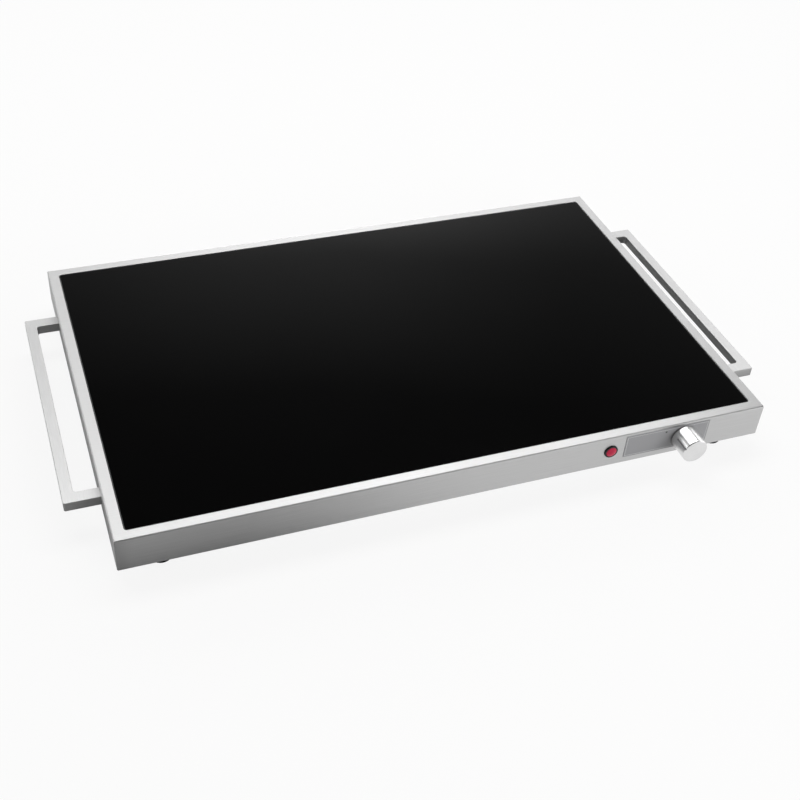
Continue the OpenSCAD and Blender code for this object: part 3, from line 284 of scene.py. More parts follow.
grey_film = printed_film("grey_film", "#8a8a8c", "#929294", 0.42)
pale_ink = printed_film("pale_ink", "#b4b4b6", "#bebec0", 0.45)
dark_ink = printed_film("dark_ink", "#39393b", "#434345", 0.45)
print("label film and two inks")

# %% [markdown]
# ## The pilot light's red lens
# The lens is dyed acrylic with an unlit neon lamp behind it: clear red over a dark barrel, with a
# moulded grid of prisms inside that breaks up the light. Some transmission would show the barrel, and
# the render would go black, so the dye is given as the base colour, with a little light scattered
# under the surface, and a low IOR keeps the white floor from washing it out.

# %% Red lens
red_lens, tree = new_material("red_lens")
place = add(tree, "TexCoord").outputs["Object"]
turn = add(tree, "Mapping", {"Vector": place, "Rotation": (0, math.radians(45), 0)})
prisms = add(tree, "TexVoronoi", {"Vector": turn.outputs[0], "Scale": 900, "Randomness": 0.0})
tone = blend_colours(tree, prisms.outputs["Distance"], "#c01642", "#a01036")
bump = add(tree, "Bump", {"Height": prisms.outputs["Distance"], "Strength": 0.3, "Distance": 0.1 * MM})
shader = add(tree, "BsdfPrincipled", {
    "Base Color": tone.outputs[0], "Roughness": 0.35, "IOR": 1.38, "Normal": bump.outputs[0],
    "Subsurface Weight": 0.2, "Subsurface Scale": 1 * MM,
})
add(tree, "OutputMaterial", {"Surface": shader.outputs[0]})
print("red lens")

# %% [markdown]
# ## Mouldings, rubber, sheet and the rest
# The other finishes share one recipe: two close tones mixed by a pattern of a real size, the same
# pattern in the gloss, and a little relief. Each line gives what the material is, its two tones, its
# roughness, the size of its pattern and the depth of its relief in mm, and whether it is a metal.

# %% Plain finishes
def plain_finish(name, dark, light, rough, size, relief, metal=False, ior=1.5, stretch=(1, 1, 1)):
    """A finish with a soft pattern; size is its grain in mm, and stretch draws it out along an axis."""
    material, tree = new_material(name)
    place = add(tree, "TexCoord").outputs["Object"]
    drawn = add(tree, "Mapping", {"Vector": place, "Scale": stretch})
    grain = add(tree, "TexNoise", {
        "Vector": drawn.outputs[0], "Scale": 1 / (size * MM), "Detail": 3, "Roughness": 0.55,
    }).outputs["Fac"]
    tone = blend_colours(tree, grain, dark, light)
    tone.color_ramp.elements[0].position = 0.3
    tone.color_ramp.elements[1].position = 0.7
    bump = add(tree, "Bump", {"Height": grain, "Strength": 0.5, "Distance": relief * MM})
    sockets = {
        "Base Color": tone.outputs[0], "Roughness": spread(tree, grain, rough - 0.06, rough + 0.06),
        "Normal": bump.outputs[0],
    }
    if metal:
        sockets["Metallic"] = 1
    else:
        sockets["IOR"] = ior
    shader = add(tree, "BsdfPrincipled", sockets)
    add(tree, "OutputMaterial", {"Surface": shader.outputs[0]})
    return material


finishes = {
    # Silicone: matt and slightly soft, wiped smooth, so the light spreads
    "black_silicone": plain_finish("black_silicone", "#151516", "#1f1f20", 0.55, 3, 0.05, ior=1.41),
    # Bright zinc plate on screws and nuts: a cool metal, a little milky
    "zinc_steel": plain_finish("zinc_steel", "#a9acb0", "#c2c5c8", 0.34, 2, 0.01, metal=True),
    # Nitrile rubber of the feet: matt black with a fine moulded grain; its two tones are darker than the
    # rubber's own, as painted shade where the feet stand under the tray
    "black_rubber": plain_finish("black_rubber", "#050505", "#0b0b0b", 0.85, 0.5, 0.04, ior=1.3),
    # Mica sheet: pressed flakes, amber, silky
    "mica": plain_finish("mica", "#a98f5f", "#d2bd90", 0.35, 6, 0.03, ior=1.58),
    # Resistance ribbon: nickel-chromium, oxidised grey by heat
    "resistance_alloy": plain_finish("resistance_alloy", "#7d7a76", "#a09c97", 0.42, 8, 0.01, metal=True),
    # Ceramic fibre: felted white wool, dry and very matt
    "ceramic_fibre": plain_finish("ceramic_fibre", "#d6d2c6", "#ebe8df", 0.95, 1.2, 0.4),
    # Nylon of the hub: moulded, half matt
    "black_nylon": plain_finish("black_nylon", "#161617", "#202022", 0.48, 0.6, 0.02, ior=1.53),
    # Glass-filled nylon of the inlet and bezel: black, eroded to a fine texture by the mould
    "black_moulding": plain_finish("black_moulding", "#101011", "#19191a", 0.5, 0.7, 0.03, ior=1.4),
    # Phenolic of the switch base: brown, with a dull moulded skin
    "brown_moulding": plain_finish("brown_moulding", "#33231a", "#43301f", 0.5, 1.5, 0.02, ior=1.6),
    # Brass of terminals, pins and the bush's nut: drawn, with faint lines
    "brass": plain_finish("brass", "#b8934a", "#d1ae67", 0.3, 1.5, 0.01, metal=True),
    # Copper of the sensor's bulb and tube, darkened a little
    "copper": plain_finish("copper", "#9c5f3a", "#c3835a", 0.35, 4, 0.01, metal=True),
    # Glass of the neon lamp: pale, with the electrodes' warmth behind it
    "clear_lamp": plain_finish("clear_lamp", "#b98f7a", "#d8b29b", 0.12, 3, 0.0),
    # Steatite: a glazed, cream ceramic
    "steatite": plain_finish("steatite", "#ddd8cb", "#efebe1", 0.3, 2, 0.02, ior=1.6),
    # Wires: silicone rubber or glass sleeve, extruded
    "brown_wire": plain_finish("brown_wire", "#5a3219", "#6d4125", 0.5, 1, 0.02),
    "blue_wire": plain_finish("blue_wire", "#24508f", "#2f62a8", 0.5, 1, 0.02),
    "sleeved_wire": plain_finish("sleeved_wire", "#c6c2b6", "#e0dcd1", 0.8, 0.6, 0.1),
}
print(len(finishes), "plain finishes")

# %% [markdown]
# Two more need a pattern of their own. Hot-dip zinc on the base plate freezes in flat crystals about
# 9 mm across, called spangle: Voronoi cells, each with a tone and a gloss of its own. The earth wire
# is green with a yellow stripe, wound round it by a wave across the wire.

# %% Galvanised sheet and the earth wire
galvanised_sheet, tree = new_material("galvanised_sheet")
place = add(tree, "TexCoord").outputs["Object"]
wander = add(tree, "TexNoise", {"Vector": place, "Scale": 160, "Detail": 2}).outputs["Color"]
shifted = add(tree, "VectorMath", {0: wander, 1: (0.003, 0.003, 0.003)}, operation="MULTIPLY")
edge = add(tree, "VectorMath", {0: place, 1: shifted.outputs[0]}, operation="ADD").outputs[0]
crystal = add(tree, "TexVoronoi", {"Vector": edge, "Scale": 1 / (9 * MM)})
shade = add(tree, "SeparateColor", {"Color": crystal.outputs["Color"]}).outputs[0]
tone = blend_colours(tree, shade, "#989ca0", "#b9bdc0")
bump = add(tree, "Bump", {"Height": shade, "Strength": 0.2, "Distance": 0.02 * MM})
shader = add(tree, "BsdfPrincipled", {
    "Base Color": tone.outputs[0], "Metallic": 1, "Roughness": spread(tree, shade, 0.38, 0.56),
    "Normal": bump.outputs[0],
})
add(tree, "OutputMaterial", {"Surface": shader.outputs[0]})
finishes["galvanised_sheet"] = galvanised_sheet

green_yellow_wire, tree = new_material("green_yellow_wire")
place = add(tree, "TexCoord").outputs["Object"]
stripe = add(tree, "TexWave", {"Vector": place, "Scale": 2 * math.pi / 20 / (6 * MM), "Distortion": 0},
             wave_type="BANDS", bands_direction="DIAGONAL").outputs["Fac"]
tone = blend_colours(tree, stripe, "#2f7d3b", "#d6c23a")
tone.color_ramp.elements[0].position = 0.62
tone.color_ramp.elements[1].position = 0.66
shader = add(tree, "BsdfPrincipled", {"Base Color": tone.outputs[0], "Roughness": 0.5})
add(tree, "OutputMaterial", {"Surface": shader.outputs[0]})
finishes["green_yellow_wire"] = green_yellow_wire
finishes["brushed_stainless"] = brushed_stainless
finishes["satin_stainless"] = satin_stainless
finishes["black_glass"] = black_glass
finishes["knob_aluminium"] = knob_aluminium
finishes["grey_label"] = grey_film
finishes["red_lens"] = red_lens

# %% [markdown]
# ## Turning a bmesh into a piece
# A piece is drawn as a bmesh, a mesh that operators can work on. When it is finished it becomes an object
# at the origin, it rides on a body of the frame, and it says which CAD nodes it stands for. Faces are
# shaded smooth up to a given angle, and a Weighted Normal modifier keeps the large flat faces flat beside
# their small rounded edges.

# %% Helpers for pieces
def to_piece(bm, name, material, slot, *nodes, body="tray", sharp=35, grain=None):
    """Makes the bmesh an object that rides on a body and replaces the CAD nodes."""
    if grain:
        lay_grain(bm, grain)
    mesh = bpy.data.meshes.new(name)
    bm.to_mesh(mesh)
    bm.free()
    for one in material if isinstance(material, list) else [material]:
        mesh.materials.append(one)
    mesh.shade_smooth()
    mesh.set_sharp_from_angle(angle=math.radians(sharp))
    piece = bpy.data.objects.new(name, mesh)
    bpy.context.scene.collection.objects.link(piece)
    weigh = piece.modifiers.new("flat faces stay flat", "WEIGHTED_NORMAL")
    weigh.keep_sharp = True
    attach(piece, body)
    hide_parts(*nodes)
    print(name, len(mesh.polygons), "faces, for", ", ".join(nodes))
    return piece


def lay_grain(bm, direction):
    """A UV map in metres whose U runs along the direction that the function gives for a face."""
    layer = bm.loops.layers.uv.new("grain")
    for face in bm.faces:
        along = direction(face)
        across = face.normal.cross(along)
        for loop in face.loops:
            loop[layer].uv = (loop.vert.co.dot(along), loop.vert.co.dot(across))


def turn_grain(bm, centre, axis):
    """A UV map whose U runs round an axis and whose V runs along the section, both in metres."""
    layer = bm.loops.layers.uv.new("grain")
    side = axis.orthogonal().normalized()
    other = axis.cross(side)
    for face in bm.faces:
        out = face.calc_center_median() - centre
        middle = math.atan2(out.dot(other), out.dot(side))
        level = abs(face.normal.dot(axis)) > 0.7
        for loop in face.loops:
            arm = loop.vert.co - centre
            radius = (arm - axis * arm.dot(axis)).length
            angle = math.atan2(arm.dot(other), arm.dot(side)) if radius > 0.01 * MM else middle
            turn = (angle - middle + math.pi) % math.tau - math.pi
            loop[layer].uv = ((middle + turn) * 10 * MM, radius if level else arm.dot(axis))


def sheet_grain(face):
    """Along X on level faces, and level along the wall on upright ones."""
    if abs(face.normal.z) > 0.7:
        return Vector((1, 0, 0))
    return Vector((0, 0, 1)).cross(face.normal).normalized()


def box_mesh(low, high):
    """A bmesh box between two corners."""
    bm = bmesh.new()
    bmesh.ops.create_cube(bm, size=1)
    bmesh.ops.scale(bm, vec=high - low, verts=bm.verts)
    bmesh.ops.translate(bm, vec=(low + high) / 2, verts=bm.verts)
    return bm


def face_towards(bm, direction):
    """The largest face whose normal points in that direction."""
    towards = [f for f in bm.faces if f.normal.dot(Vector(direction)) > 0.999]
    return max(towards, key=lambda f: f.calc_area())


def round_edges(bm, edges, radius, segments):
    """Rounds edges to a circular section."""
    return bmesh.ops.bevel(
        bm, geom=list(edges), offset=radius, offset_type="OFFSET", affect="EDGES",
        segments=segments, profile=0.5, material=-1, clamp_overlap=True,
    )


def round_corners(bm, verts, radius, segments):
    """Rounds the corners of a flat outline."""
    return bmesh.ops.bevel(
        bm, geom=list(verts), offset=radius, offset_type="OFFSET", affect="VERTICES",
        segments=segments, profile=0.5, material=-1, clamp_overlap=True,
    )


def sharp_edges(bm, degrees=30):
    """The edges whose two faces meet at more than the angle."""
    limit = math.radians(degrees)
    return [e for e in bm.edges if len(e.link_faces) == 2 and e.calc_face_angle() > limit]


def spun(profile, axis_point, axis, segments=96):
    """Spins (radius, height) points round an axis that starts at a point, and closes the seam."""
    bm = bmesh.new()
    axis = Vector(axis).normalized()
    side = axis.orthogonal().normalized()
    verts = [bm.verts.new(axis_point + side * r + axis * h) for r, h in profile]
    edges = [bm.edges.new(pair) for pair in zip(verts, verts[1:])]
    bmesh.ops.spin(
        bm, geom=verts + edges, cent=axis_point, axis=axis, angle=math.tau,
        steps=segments, use_merge=True,
    )
    bmesh.ops.remove_doubles(bm, verts=bm.verts, dist=0.001 * MM)
    bmesh.ops.recalc_face_normals(bm, faces=bm.faces)
    return bm


most_finishes = 3


def modified(bm, kind, **settings):
    """The bmesh as one modifier leaves it; each of its finishes needs a slot to survive."""
    work = bpy.data.objects.new("work", bpy.data.meshes.new("work"))
    bm.to_mesh(work.data)
    for _ in range(most_finishes):
        work.data.materials.append(None)
    bpy.context.scene.collection.objects.link(work)
    modifier = work.modifiers.new(kind, kind)
    for name, value in settings.items():
        setattr(modifier, name, value)
    done = work.evaluated_get(bpy.context.evaluated_depsgraph_get()).to_mesh()
    bm.clear()
    bm.from_mesh(done)
    bpy.data.objects.remove(work)
    return bm


def cut(bm, cutter):
    """Cuts the cutter's solid out of the bmesh."""
    knife = bpy.data.objects.new("knife", bpy.data.meshes.new("knife"))
    cutter.to_mesh(knife.data)
    cutter.free()
    for _ in range(most_finishes):
        knife.data.materials.append(None)
    bpy.context.scene.collection.objects.link(knife)
    modified(bm, "BOOLEAN", object=knife, operation="DIFFERENCE", solver="EXACT")
    bpy.data.objects.remove(knife)
    return bm


def drill(bm, centre, axis, diameter, length, segments=32):
    """Adds a drill's cylinder to a cutter, middle at centre."""
    turn = Vector((0, 0, 1)).rotation_difference(Vector(axis)).to_matrix().to_4x4()
    bmesh.ops.create_cone(
        bm, cap_ends=True, segments=segments, radius1=diameter / 2, radius2=diameter / 2,
        depth=length, matrix=Matrix.Translation(centre) @ turn,
    )


def merged_copy(node):
    """A bmesh of a CAD node, its loose triangles joined and its flat faces made whole."""
    bm = bmesh.new()
    bm.from_mesh(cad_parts[node].data)
    bmesh.ops.remove_doubles(bm, verts=bm.verts, dist=0.002 * MM)
    bmesh.ops.dissolve_limit(
        bm, angle_limit=math.radians(0.5), verts=bm.verts, edges=bm.edges, delimit={"NORMAL"},
    )
    return bm


def centres(node):
    """The middle of each separate solid of a CAD node."""
    bm = merged_copy(node)
    left, found = set(bm.verts), []
    while left:
        island, todo = set(), [left.pop()]
        while todo:
            vert = todo.pop()
            island.add(vert)
            todo += [v for e in vert.link_edges for v in e.verts if v in left]
            left -= set(todo)
        low = Vector([min(v.co[i] for v in island) for i in range(3)])
        high = Vector([max(v.co[i] for v in island) for i in range(3)])
        found.append((low + high) / 2)
    bm.free()
    return found


print("helpers ready")

# %% [markdown]
# ## The folded frame
# The real frame is one sheet, 1.2 mm thick, with its walls folded down, a rim folded in at the top,
# a lip and a ledge inside it that carry the glass, and a flange turned in at the foot. It is drawn as
# one skin and given its thickness at the end, as sheet work is thought of: a box with bent edges, the
# rim inset from its top, the opening's corners rounded, the lip and ledge extruded, the foot opened.

# %% The frame's skin
bm = box_mesh(body_low, body_high)
round_edges(bm, bm.edges, bend_r, 5)
rim = face_towards(bm, (0, 0, 1))
bmesh.ops.inset_region(bm, faces=[rim], thickness=rim_w - bend_r, use_even_offset=True)
opening = face_towards(bm, (0, 0, 1))
round_corners(bm, opening.verts, rim_corner_r, 6)
opening = face_towards(bm, (0, 0, 1))
bed_t = 0.8 * MM
ledge_z = glass_low.z - bed_t
lip = bmesh.ops.extrude_face_region(bm, geom=[opening])["geom"]
floor_verts = [v for v in lip if isinstance(v, bmesh.types.BMVert)]
bmesh.ops.translate(bm, vec=(0, 0, ledge_z - top_z), verts=floor_verts)
bmesh.ops.delete(bm, geom=[opening], context="FACES_ONLY")
ledge_face = min(
    (f for f in bm.faces
     if f.normal.z > 0.999 and abs(f.calc_center_median().z - ledge_z) < 0.01 * MM),
    key=lambda f: -f.calc_area(),
)
ledge_in = bmesh.ops.extrude_face_region(bm, geom=[ledge_face])["geom"]
bmesh.ops.delete(bm, geom=[ledge_face], context="FACES_ONLY")
inner = [v for v in ledge_in if isinstance(v, bmesh.types.BMVert)]
reach = Vector((body_high.x - rim_w, body_high.y - rim_w))
ledge_w = 10 * MM
bmesh.ops.scale(bm, vec=(1 - ledge_w / reach.x, 1 - ledge_w / reach.y, 1), verts=inner)
middle = [f for f in bm.faces if all(v in inner for v in f.verts)]
bmesh.ops.delete(bm, geom=middle, context="FACES")
print("skin", len(bm.faces), "faces, ledge at", round(ledge_z / MM, 2), "mm")

# %% [markdown]
# The foot of the frame is opened the same way: the bottom face is inset by the width of the flange and
# its middle is deleted. Then the skin gets its thickness towards the inside, and the holes are cut for
# everything that passes through the sheet, so that no piece runs into solid steel.

# %% Flange, thickness and holes
bottom = face_towards(bm, (0, 0, -1))
return_w = 12 * MM
bmesh.ops.inset_region(bm, faces=[bottom], thickness=return_w - bend_r, use_even_offset=True)
bmesh.ops.delete(bm, geom=[face_towards(bm, (0, 0, -1))], context="FACES")
bmesh.ops.recalc_face_normals(bm, faces=bm.faces)
modified(bm, "SOLIDIFY", thickness=sheet_t, offset=-1, use_even_offset=True)

drills = bmesh.new()
deep = 6 * MM
barrel_d = 11 * MM
barrel_hole_d = 11.1 * MM
bush_hole_d = 9.9 * MM
handle_hole_d, inlet_hole_d, base_hole_d = 5.4 * MM, 3.1 * MM, 4.1 * MM
drill(drills, Vector((knob_axis.x, front_y, knob_axis.z)), (0, 1, 0), bush_hole_d, deep)
drill(drills, Vector((bezel_axis.x, front_y, bezel_axis.z)), (0, 1, 0), barrel_hole_d, deep)
for middle in centres("handle_screws"):
    wall = Vector((math.copysign(body_high.x, middle.x), middle.y, middle.z))
    drill(drills, wall, (1, 0, 0), handle_hole_d, deep)
for middle in centres("inlet_screws"):
    drill(drills, Vector((middle.x, body_high.y, middle.z)), (0, 1, 0), inlet_hole_d, deep)
for middle in centres("base_screws"):
    drill(drills, Vector((middle.x, middle.y, body_low.z)), (0, 0, 1), base_hole_d, deep)
inlet_low, inlet_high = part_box("mains_inlet")
inlet_mid = (inlet_low + inlet_high) / 2
inlet_hole = Vector((27.8, deep / MM, 19.6)) * MM
bmesh.ops.create_cube(
    drills, size=1, matrix=Matrix.Translation((inlet_mid.x, body_high.y, inlet_mid.z))
    @ Matrix.Diagonal((*inlet_hole, 1)),
)
cut(bm, drills)
to_piece(bm, "frame_shell", finishes["brushed_stainless"], "brushed_stainless", "housing",
         grain=sheet_grain)

# %% [markdown]
# ## The glass top
# A plate of toughened glass, 4 mm thick, that lies flush in the frame on a bed of silicone. Its corners
# are rounded on the grinder and its upper edge has a ground arris, a narrow matt chamfer that keeps the
# edge from chipping. The arris is bevelled last, and its faces get a finish of their own.

# %% Glass top
bm = box_mesh(glass_low, glass_high)
upright = [e for e in bm.edges if abs(e.verts[0].co.z - e.verts[1].co.z) > MM]
glass_corner_r, arris_w = 2.4 * MM, 0.5 * MM
round_edges(bm, upright, glass_corner_r, 6)
top_edge = [e for e in bm.edges if all(v.co.z > glass_high.z - 0.01 * MM for v in e.verts)]
arris = round_edges(bm, top_edge, arris_w, 2)
for face in arris["faces"]:
    face.material_index = 1
to_piece(bm, "glass_plate", [finishes["black_glass"], ground_glass], "black_glass", "glass_top")

# %% [markdown]
# ## The handles
# Each handle is a square-cornered bar, bent to a U in plan and ground all over, screwed on from inside
# the frame. A flat outline of eight points is enough: it is extruded to the bar's thickness, then the
# upright edges at the corners are rounded, and last every edge is eased by half a millimetre.

# %% Handles
bar_w = 10 * MM
leg_w = 12 * MM
outer_r, inner_r, ease_r = 1.5 * MM, 3 * MM, 0.5 * MM


def handle(node, side):
    """A bar handle; side is 1 at the right and -1 at the left."""
    low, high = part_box(node)
    wall = side * body_high.x
    out = side * max(abs(low.x), abs(high.x))
    half = high.y
    inside = out - side * bar_w
    outline = [
        (wall, -half), (out, -half), (out, half), (wall, half),
        (wall, half - leg_w), (inside, half - leg_w), (inside, leg_w - half), (wall, leg_w - half),
    ]
    bm = bmesh.new()
    flat = bm.faces.new([bm.verts.new((x, y, low.z)) for x, y in outline])
    raised = bmesh.ops.extrude_face_region(bm, geom=[flat])["geom"]
    bmesh.ops.translate(
        bm, vec=(0, 0, high.z - low.z), verts=[v for v in raised if isinstance(v, bmesh.types.BMVert)])
    bmesh.ops.recalc_face_normals(bm, faces=bm.faces)
    upright = [e for e in bm.edges if abs(e.verts[0].co.z - e.verts[1].co.z) > MM]
    round_edges(bm, [e for e in upright if abs(e.verts[0].co.x - out) < 0.1 * MM], outer_r, 5)
    upright = [e for e in bm.edges if abs(e.verts[0].co.z - e.verts[1].co.z) > MM]
    round_edges(bm, [e for e in upright if abs(e.verts[0].co.x - inside) < 0.1 * MM], inner_r, 6)
    eased = [e for e in sharp_edges(bm) if any(abs(v.co.x - wall) > 0.1 * MM for v in e.verts)]
    round_edges(bm, eased, ease_r, 3)
    return to_piece(bm, node + "_bar", finishes["satin_stainless"], "satin_stainless", node,
                    grain=handle_grain)


def handle_grain(face):
    """Along the bar's length, which is Y, and across it on the ends."""
    return Vector((1, 0, 0)) if abs(face.normal.y) > 0.7 else Vector((0, 1, 0))


handle("handle_left", -1)
handle("handle_right", 1)

# %% [markdown]
# ## The knob
# The knob is a turned part, so it is spun: half of its section is drawn as radius and height points,
# then swept round the axis. It is hollow at the back and bored for its hub. The pointer is a groove
# milled along its side from the front edge and filled with grey paint, so it is cut out of the spun
# solid, and the faces that the cut leaves take the paint.

# %% Knob
knob_back = Vector((knob_axis.x, knob_high.y, knob_axis.z))
knob_r = (knob_high.x - knob_low.x) / 2
knob_l = knob_high.y - knob_low.y
hub_r = 6.05 * MM
hollow_r = knob_r - 2.4 * MM
hollow_h = 5 * MM
bore_h = knob_l - 3 * MM
rim_cut = 1 * MM
section = [
    (0, bore_h), (hub_r, bore_h), (hub_r, hollow_h), (hollow_r, hollow_h), (hollow_r, 0),
    (knob_r - 0.3 * MM, 0), (knob_r, 0.3 * MM), (knob_r, knob_l - rim_cut),
    (knob_r - 0.15 * rim_cut, knob_l - 0.55 * rim_cut),
    (knob_r - 0.55 * rim_cut, knob_l - 0.15 * rim_cut),
    (knob_r - rim_cut, knob_l), (knob_r * 0.6, knob_l), (knob_r * 0.25, knob_l), (0, knob_l),
]
bm = spun(section, knob_back, (0, -1, 0), 128)
off_angle = math.radians(155)
groove = bmesh.new()
groove_w, groove_deep, groove_l, groove_r = 1.6 * MM, 0.8 * MM, 15 * MM, 0.5 * MM
bmesh.ops.create_cube(groove, size=1)
bmesh.ops.scale(groove, vec=(2 * groove_deep, 2 * groove_l, groove_w), verts=groove.verts)
long_edges = [e for e in groove.edges if abs(e.verts[0].co.y - e.verts[1].co.y) > MM]
round_edges(groove, long_edges, groove_r, 3)
bmesh.ops.translate(groove, vec=(knob_r, 0, 0), verts=groove.verts)
bmesh.ops.rotate(groove, matrix=Matrix.Rotation(-off_angle, 3, "Y"), verts=groove.verts)
bmesh.ops.translate(groove, vec=(knob_axis.x, knob_low.y, knob_axis.z), verts=groove.verts)
for face in groove.faces:
    face.material_index = 1
cut(bm, groove)
turn_grain(bm, knob_back, Vector((0, -1, 0)))
to_piece(bm, "knob_cap", [finishes["knob_aluminium"], pointer_paint], "knob_aluminium",
         "control_knob", body="knob")

# %% [markdown]
# ## The control label
# The label is a thin plate with small round corners. Two insets of its front face give the strip for
# the pale line, a hole is cut for the thermostat's bush, and the off dot is a thin disc of ink.

# %% Control label
bm = box_mesh(label_low, label_high)
line_in, line_w, label_corner_r = 1.3 * MM, 0.45 * MM, 0.8 * MM
for thickness in (line_in, line_w):
    front = face_towards(bm, (0, -1, 0))
    border = bmesh.ops.inset_region(bm, faces=[front], thickness=thickness, use_even_offset=True)
short = [e for e in bm.edges if abs(e.verts[0].co.y - e.verts[1].co.y) > 0.1 * MM]
round_edges(bm, short, label_corner_r, 4)
for face in border["faces"]:
    face.material_index = 1
hole = bmesh.new()
label_hole_d = 18 * MM
drill(hole, Vector((knob_axis.x, front_y, knob_axis.z)), (0, 1, 0), label_hole_d, deep, 64)
cut(bm, hole)
dot_reach, dot_d, ink_t = 21 * MM, 2 * MM, 0.06 * MM
old = set(bm.faces)
off_mark = Vector((math.cos(off_angle), 0, math.sin(off_angle))) * dot_reach
dot_centre = Vector((knob_axis.x, label_low.y, knob_axis.z)) + off_mark
drill(bm, dot_centre, (0, 1, 0), dot_d, ink_t, 24)
for face in set(bm.faces) - old:
    face.material_index = 2
to_piece(bm, "label_plate", [finishes["grey_label"], pale_ink, dark_ink], "grey_label",
         "control_label")

# %% [markdown]
# ## The pilot light
# A black bezel snaps through a round hole and holds a domed red lens. Both are turned shapes. The lens
# has a wide head that lies in the bezel and a narrower shank, and its dome is a few points of an arc.

# %% Pilot light
bezel_r = (bezel_high.x - bezel_low.x) / 2
lens_r = (lens_high.x - lens_low.x) / 2
front = Vector((bezel_axis.x, front_y, bezel_axis.z))
bezel_t = front_y - bezel_low.y
lens_out = front_y - lens_low.y
barrel_l = bezel_high.y - front_y
seat = front_y - lens_high.y
head_seat = bezel_t - 1 * MM
bore_r, shank_r = 4 * MM, 4.4 * MM
fit = 0.05 * MM
bm = spun([
    (bore_r, -barrel_l), (barrel_d / 2, -barrel_l), (barrel_d / 2, 0), (bezel_r, 0),
    (bezel_r, bezel_t - 0.6 * MM), (bezel_r - 0.1 * MM, bezel_t - 0.3 * MM),
    (bezel_r - 0.3 * MM, bezel_t - 0.1 * MM), (bezel_r - 0.6 * MM, bezel_t),
    (lens_r + 0.3 * MM, bezel_t), (lens_r + fit, bezel_t - 0.2 * MM), (lens_r + fit, head_seat),
    (shank_r + fit, head_seat), (shank_r + fit, seat), (bore_r, seat), (bore_r, -barrel_l),
], front, (0, -1, 0), 64)
to_piece(bm, "bezel_ring", finishes["black_moulding"], "black_moulding", "pilot_bezel", sharp=50)

dome_rise = lens_out - bezel_t
dome_r = (lens_r ** 2 + dome_rise ** 2) / (2 * dome_rise)
widest = math.asin(lens_r / dome_r)
arc_steps = 8
turns = [widest * i / arc_steps for i in range(arc_steps, -1, -1)]
arc = [(dome_r * math.sin(a), lens_out - dome_r + dome_r * math.cos(a)) for a in turns]
shank = [(0, seat), (shank_r, seat), (shank_r, head_seat), (lens_r, head_seat)]
bm = spun(shank + arc, front, (0, -1, 0), 48)
to_piece(bm, "lens_dome", finishes["red_lens"], "red_lens", "pilot_lens", sharp=60)

# %% [markdown]
# ## The feet
# Four moulded rubber feet, almost straight at the side, with a small radius round the tread and a deep
# well for the screw's head.

# %% Feet
foot_r, tip_r = 9.5 * MM, 9.4 * MM
well_r, web, hole_r, tread_r = 4.2 * MM, 4 * MM, 2.05 * MM, 0.6 * MM
foot_section = [
    (hole_r, foot_top_z), (hole_r, foot_top_z - web), (well_r, foot_top_z - web), (well_r, 0.4 * MM),
    (well_r + 0.4 * MM, 0), (tip_r - tread_r, 0), (tip_r - 0.3 * tread_r, 0.3 * tread_r),
    (tip_r, tread_r), (foot_r, foot_top_z - 0.4 * MM),
    (foot_r - 0.3 * MM, foot_top_z), (hole_r, foot_top_z),
]
bm = bmesh.new()
for middle in centres("feet"):
    one = spun(foot_section, Vector((middle.x, middle.y, 0)), (0, 0, 1), 48)
    work = bpy.data.meshes.new("one foot")
    one.to_mesh(work)
    one.free()
    bm.from_mesh(work)
    bpy.data.meshes.remove(work)
to_piece(bm, "rubber_feet", finishes["black_rubber"], "black_rubber", "feet", sharp=40)

# %% [markdown]
# ## CAD pieces that only need better edges
# Screws, nuts, the louvred base plate and the mains inlet already have their true shape in CAD. Their
# meshes are loose triangles, though, which shade as facets, and real edges are never quite sharp. So
# a copy of each is merged, the sharp edges of all but the base plate are bevelled by a few tenths, and it
# replaces its node.

# %% Refined copies
def refined(node, name, slot, ease, body="tray"):
    """A merged copy of a CAD node with its edges eased by so many mm."""
    bm = merged_copy(node)
    if ease:
        round_edges(bm, sharp_edges(bm, 40), ease * MM, 2)
    return to_piece(bm, name, finishes[slot], slot, node, body=body)


refined("base_plate", "louvred_base", "galvanised_sheet", 0)
refined("base_screws", "base_plate_screws", "zinc_steel", 0.12)
refined("foot_screws", "feet_screws", "zinc_steel", 0.12)
refined("block_screw", "terminal_block_screw", "zinc_steel", 0.1)
refined("inlet_screws", "socket_screws", "zinc_steel", 0.08)
refined("mains_inlet", "mains_socket", "black_moulding", 0.25)
refined("inlet_pins", "socket_pins", "brass", 0.15)
refined("knob_hub", "hub_moulding", "black_nylon", 0.15, body="knob")
refined("thermostat_nut", "bush_nut", "brass", 0.15)

# %% [markdown]
# ## Finishes for the CAD pieces that stay
# What is left is inside the frame. Those nodes keep their CAD meshes and take a finish by material
# slot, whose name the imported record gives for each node.

# %% Finish the remaining nodes
dressed = 0
for node, slot_name in node_slots.items():
    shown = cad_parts[node]
    if shown.hide_render:
        continue
    shown.data.materials.clear()
    shown.data.materials.append(finishes[slot_name])
    dressed += 1
print(dressed, "CAD nodes dressed")

# %% [markdown]
# ## Floor, sky and lamps
# The photograph was taken on a white sweep with soft boxes. The floor is a wide white sheet that still
# takes the tray's shadow: what the camera and the mirror-like surfaces see of it is partly its own
# white glow, of strength 1, through Light Path, and the lamps add nothing to that. The sky is white at
# the horizon, brightest low behind the tray, and falls off above it, which keeps the glass black where
# it mirrors the upper studio. The camera itself sees plain white behind everything.

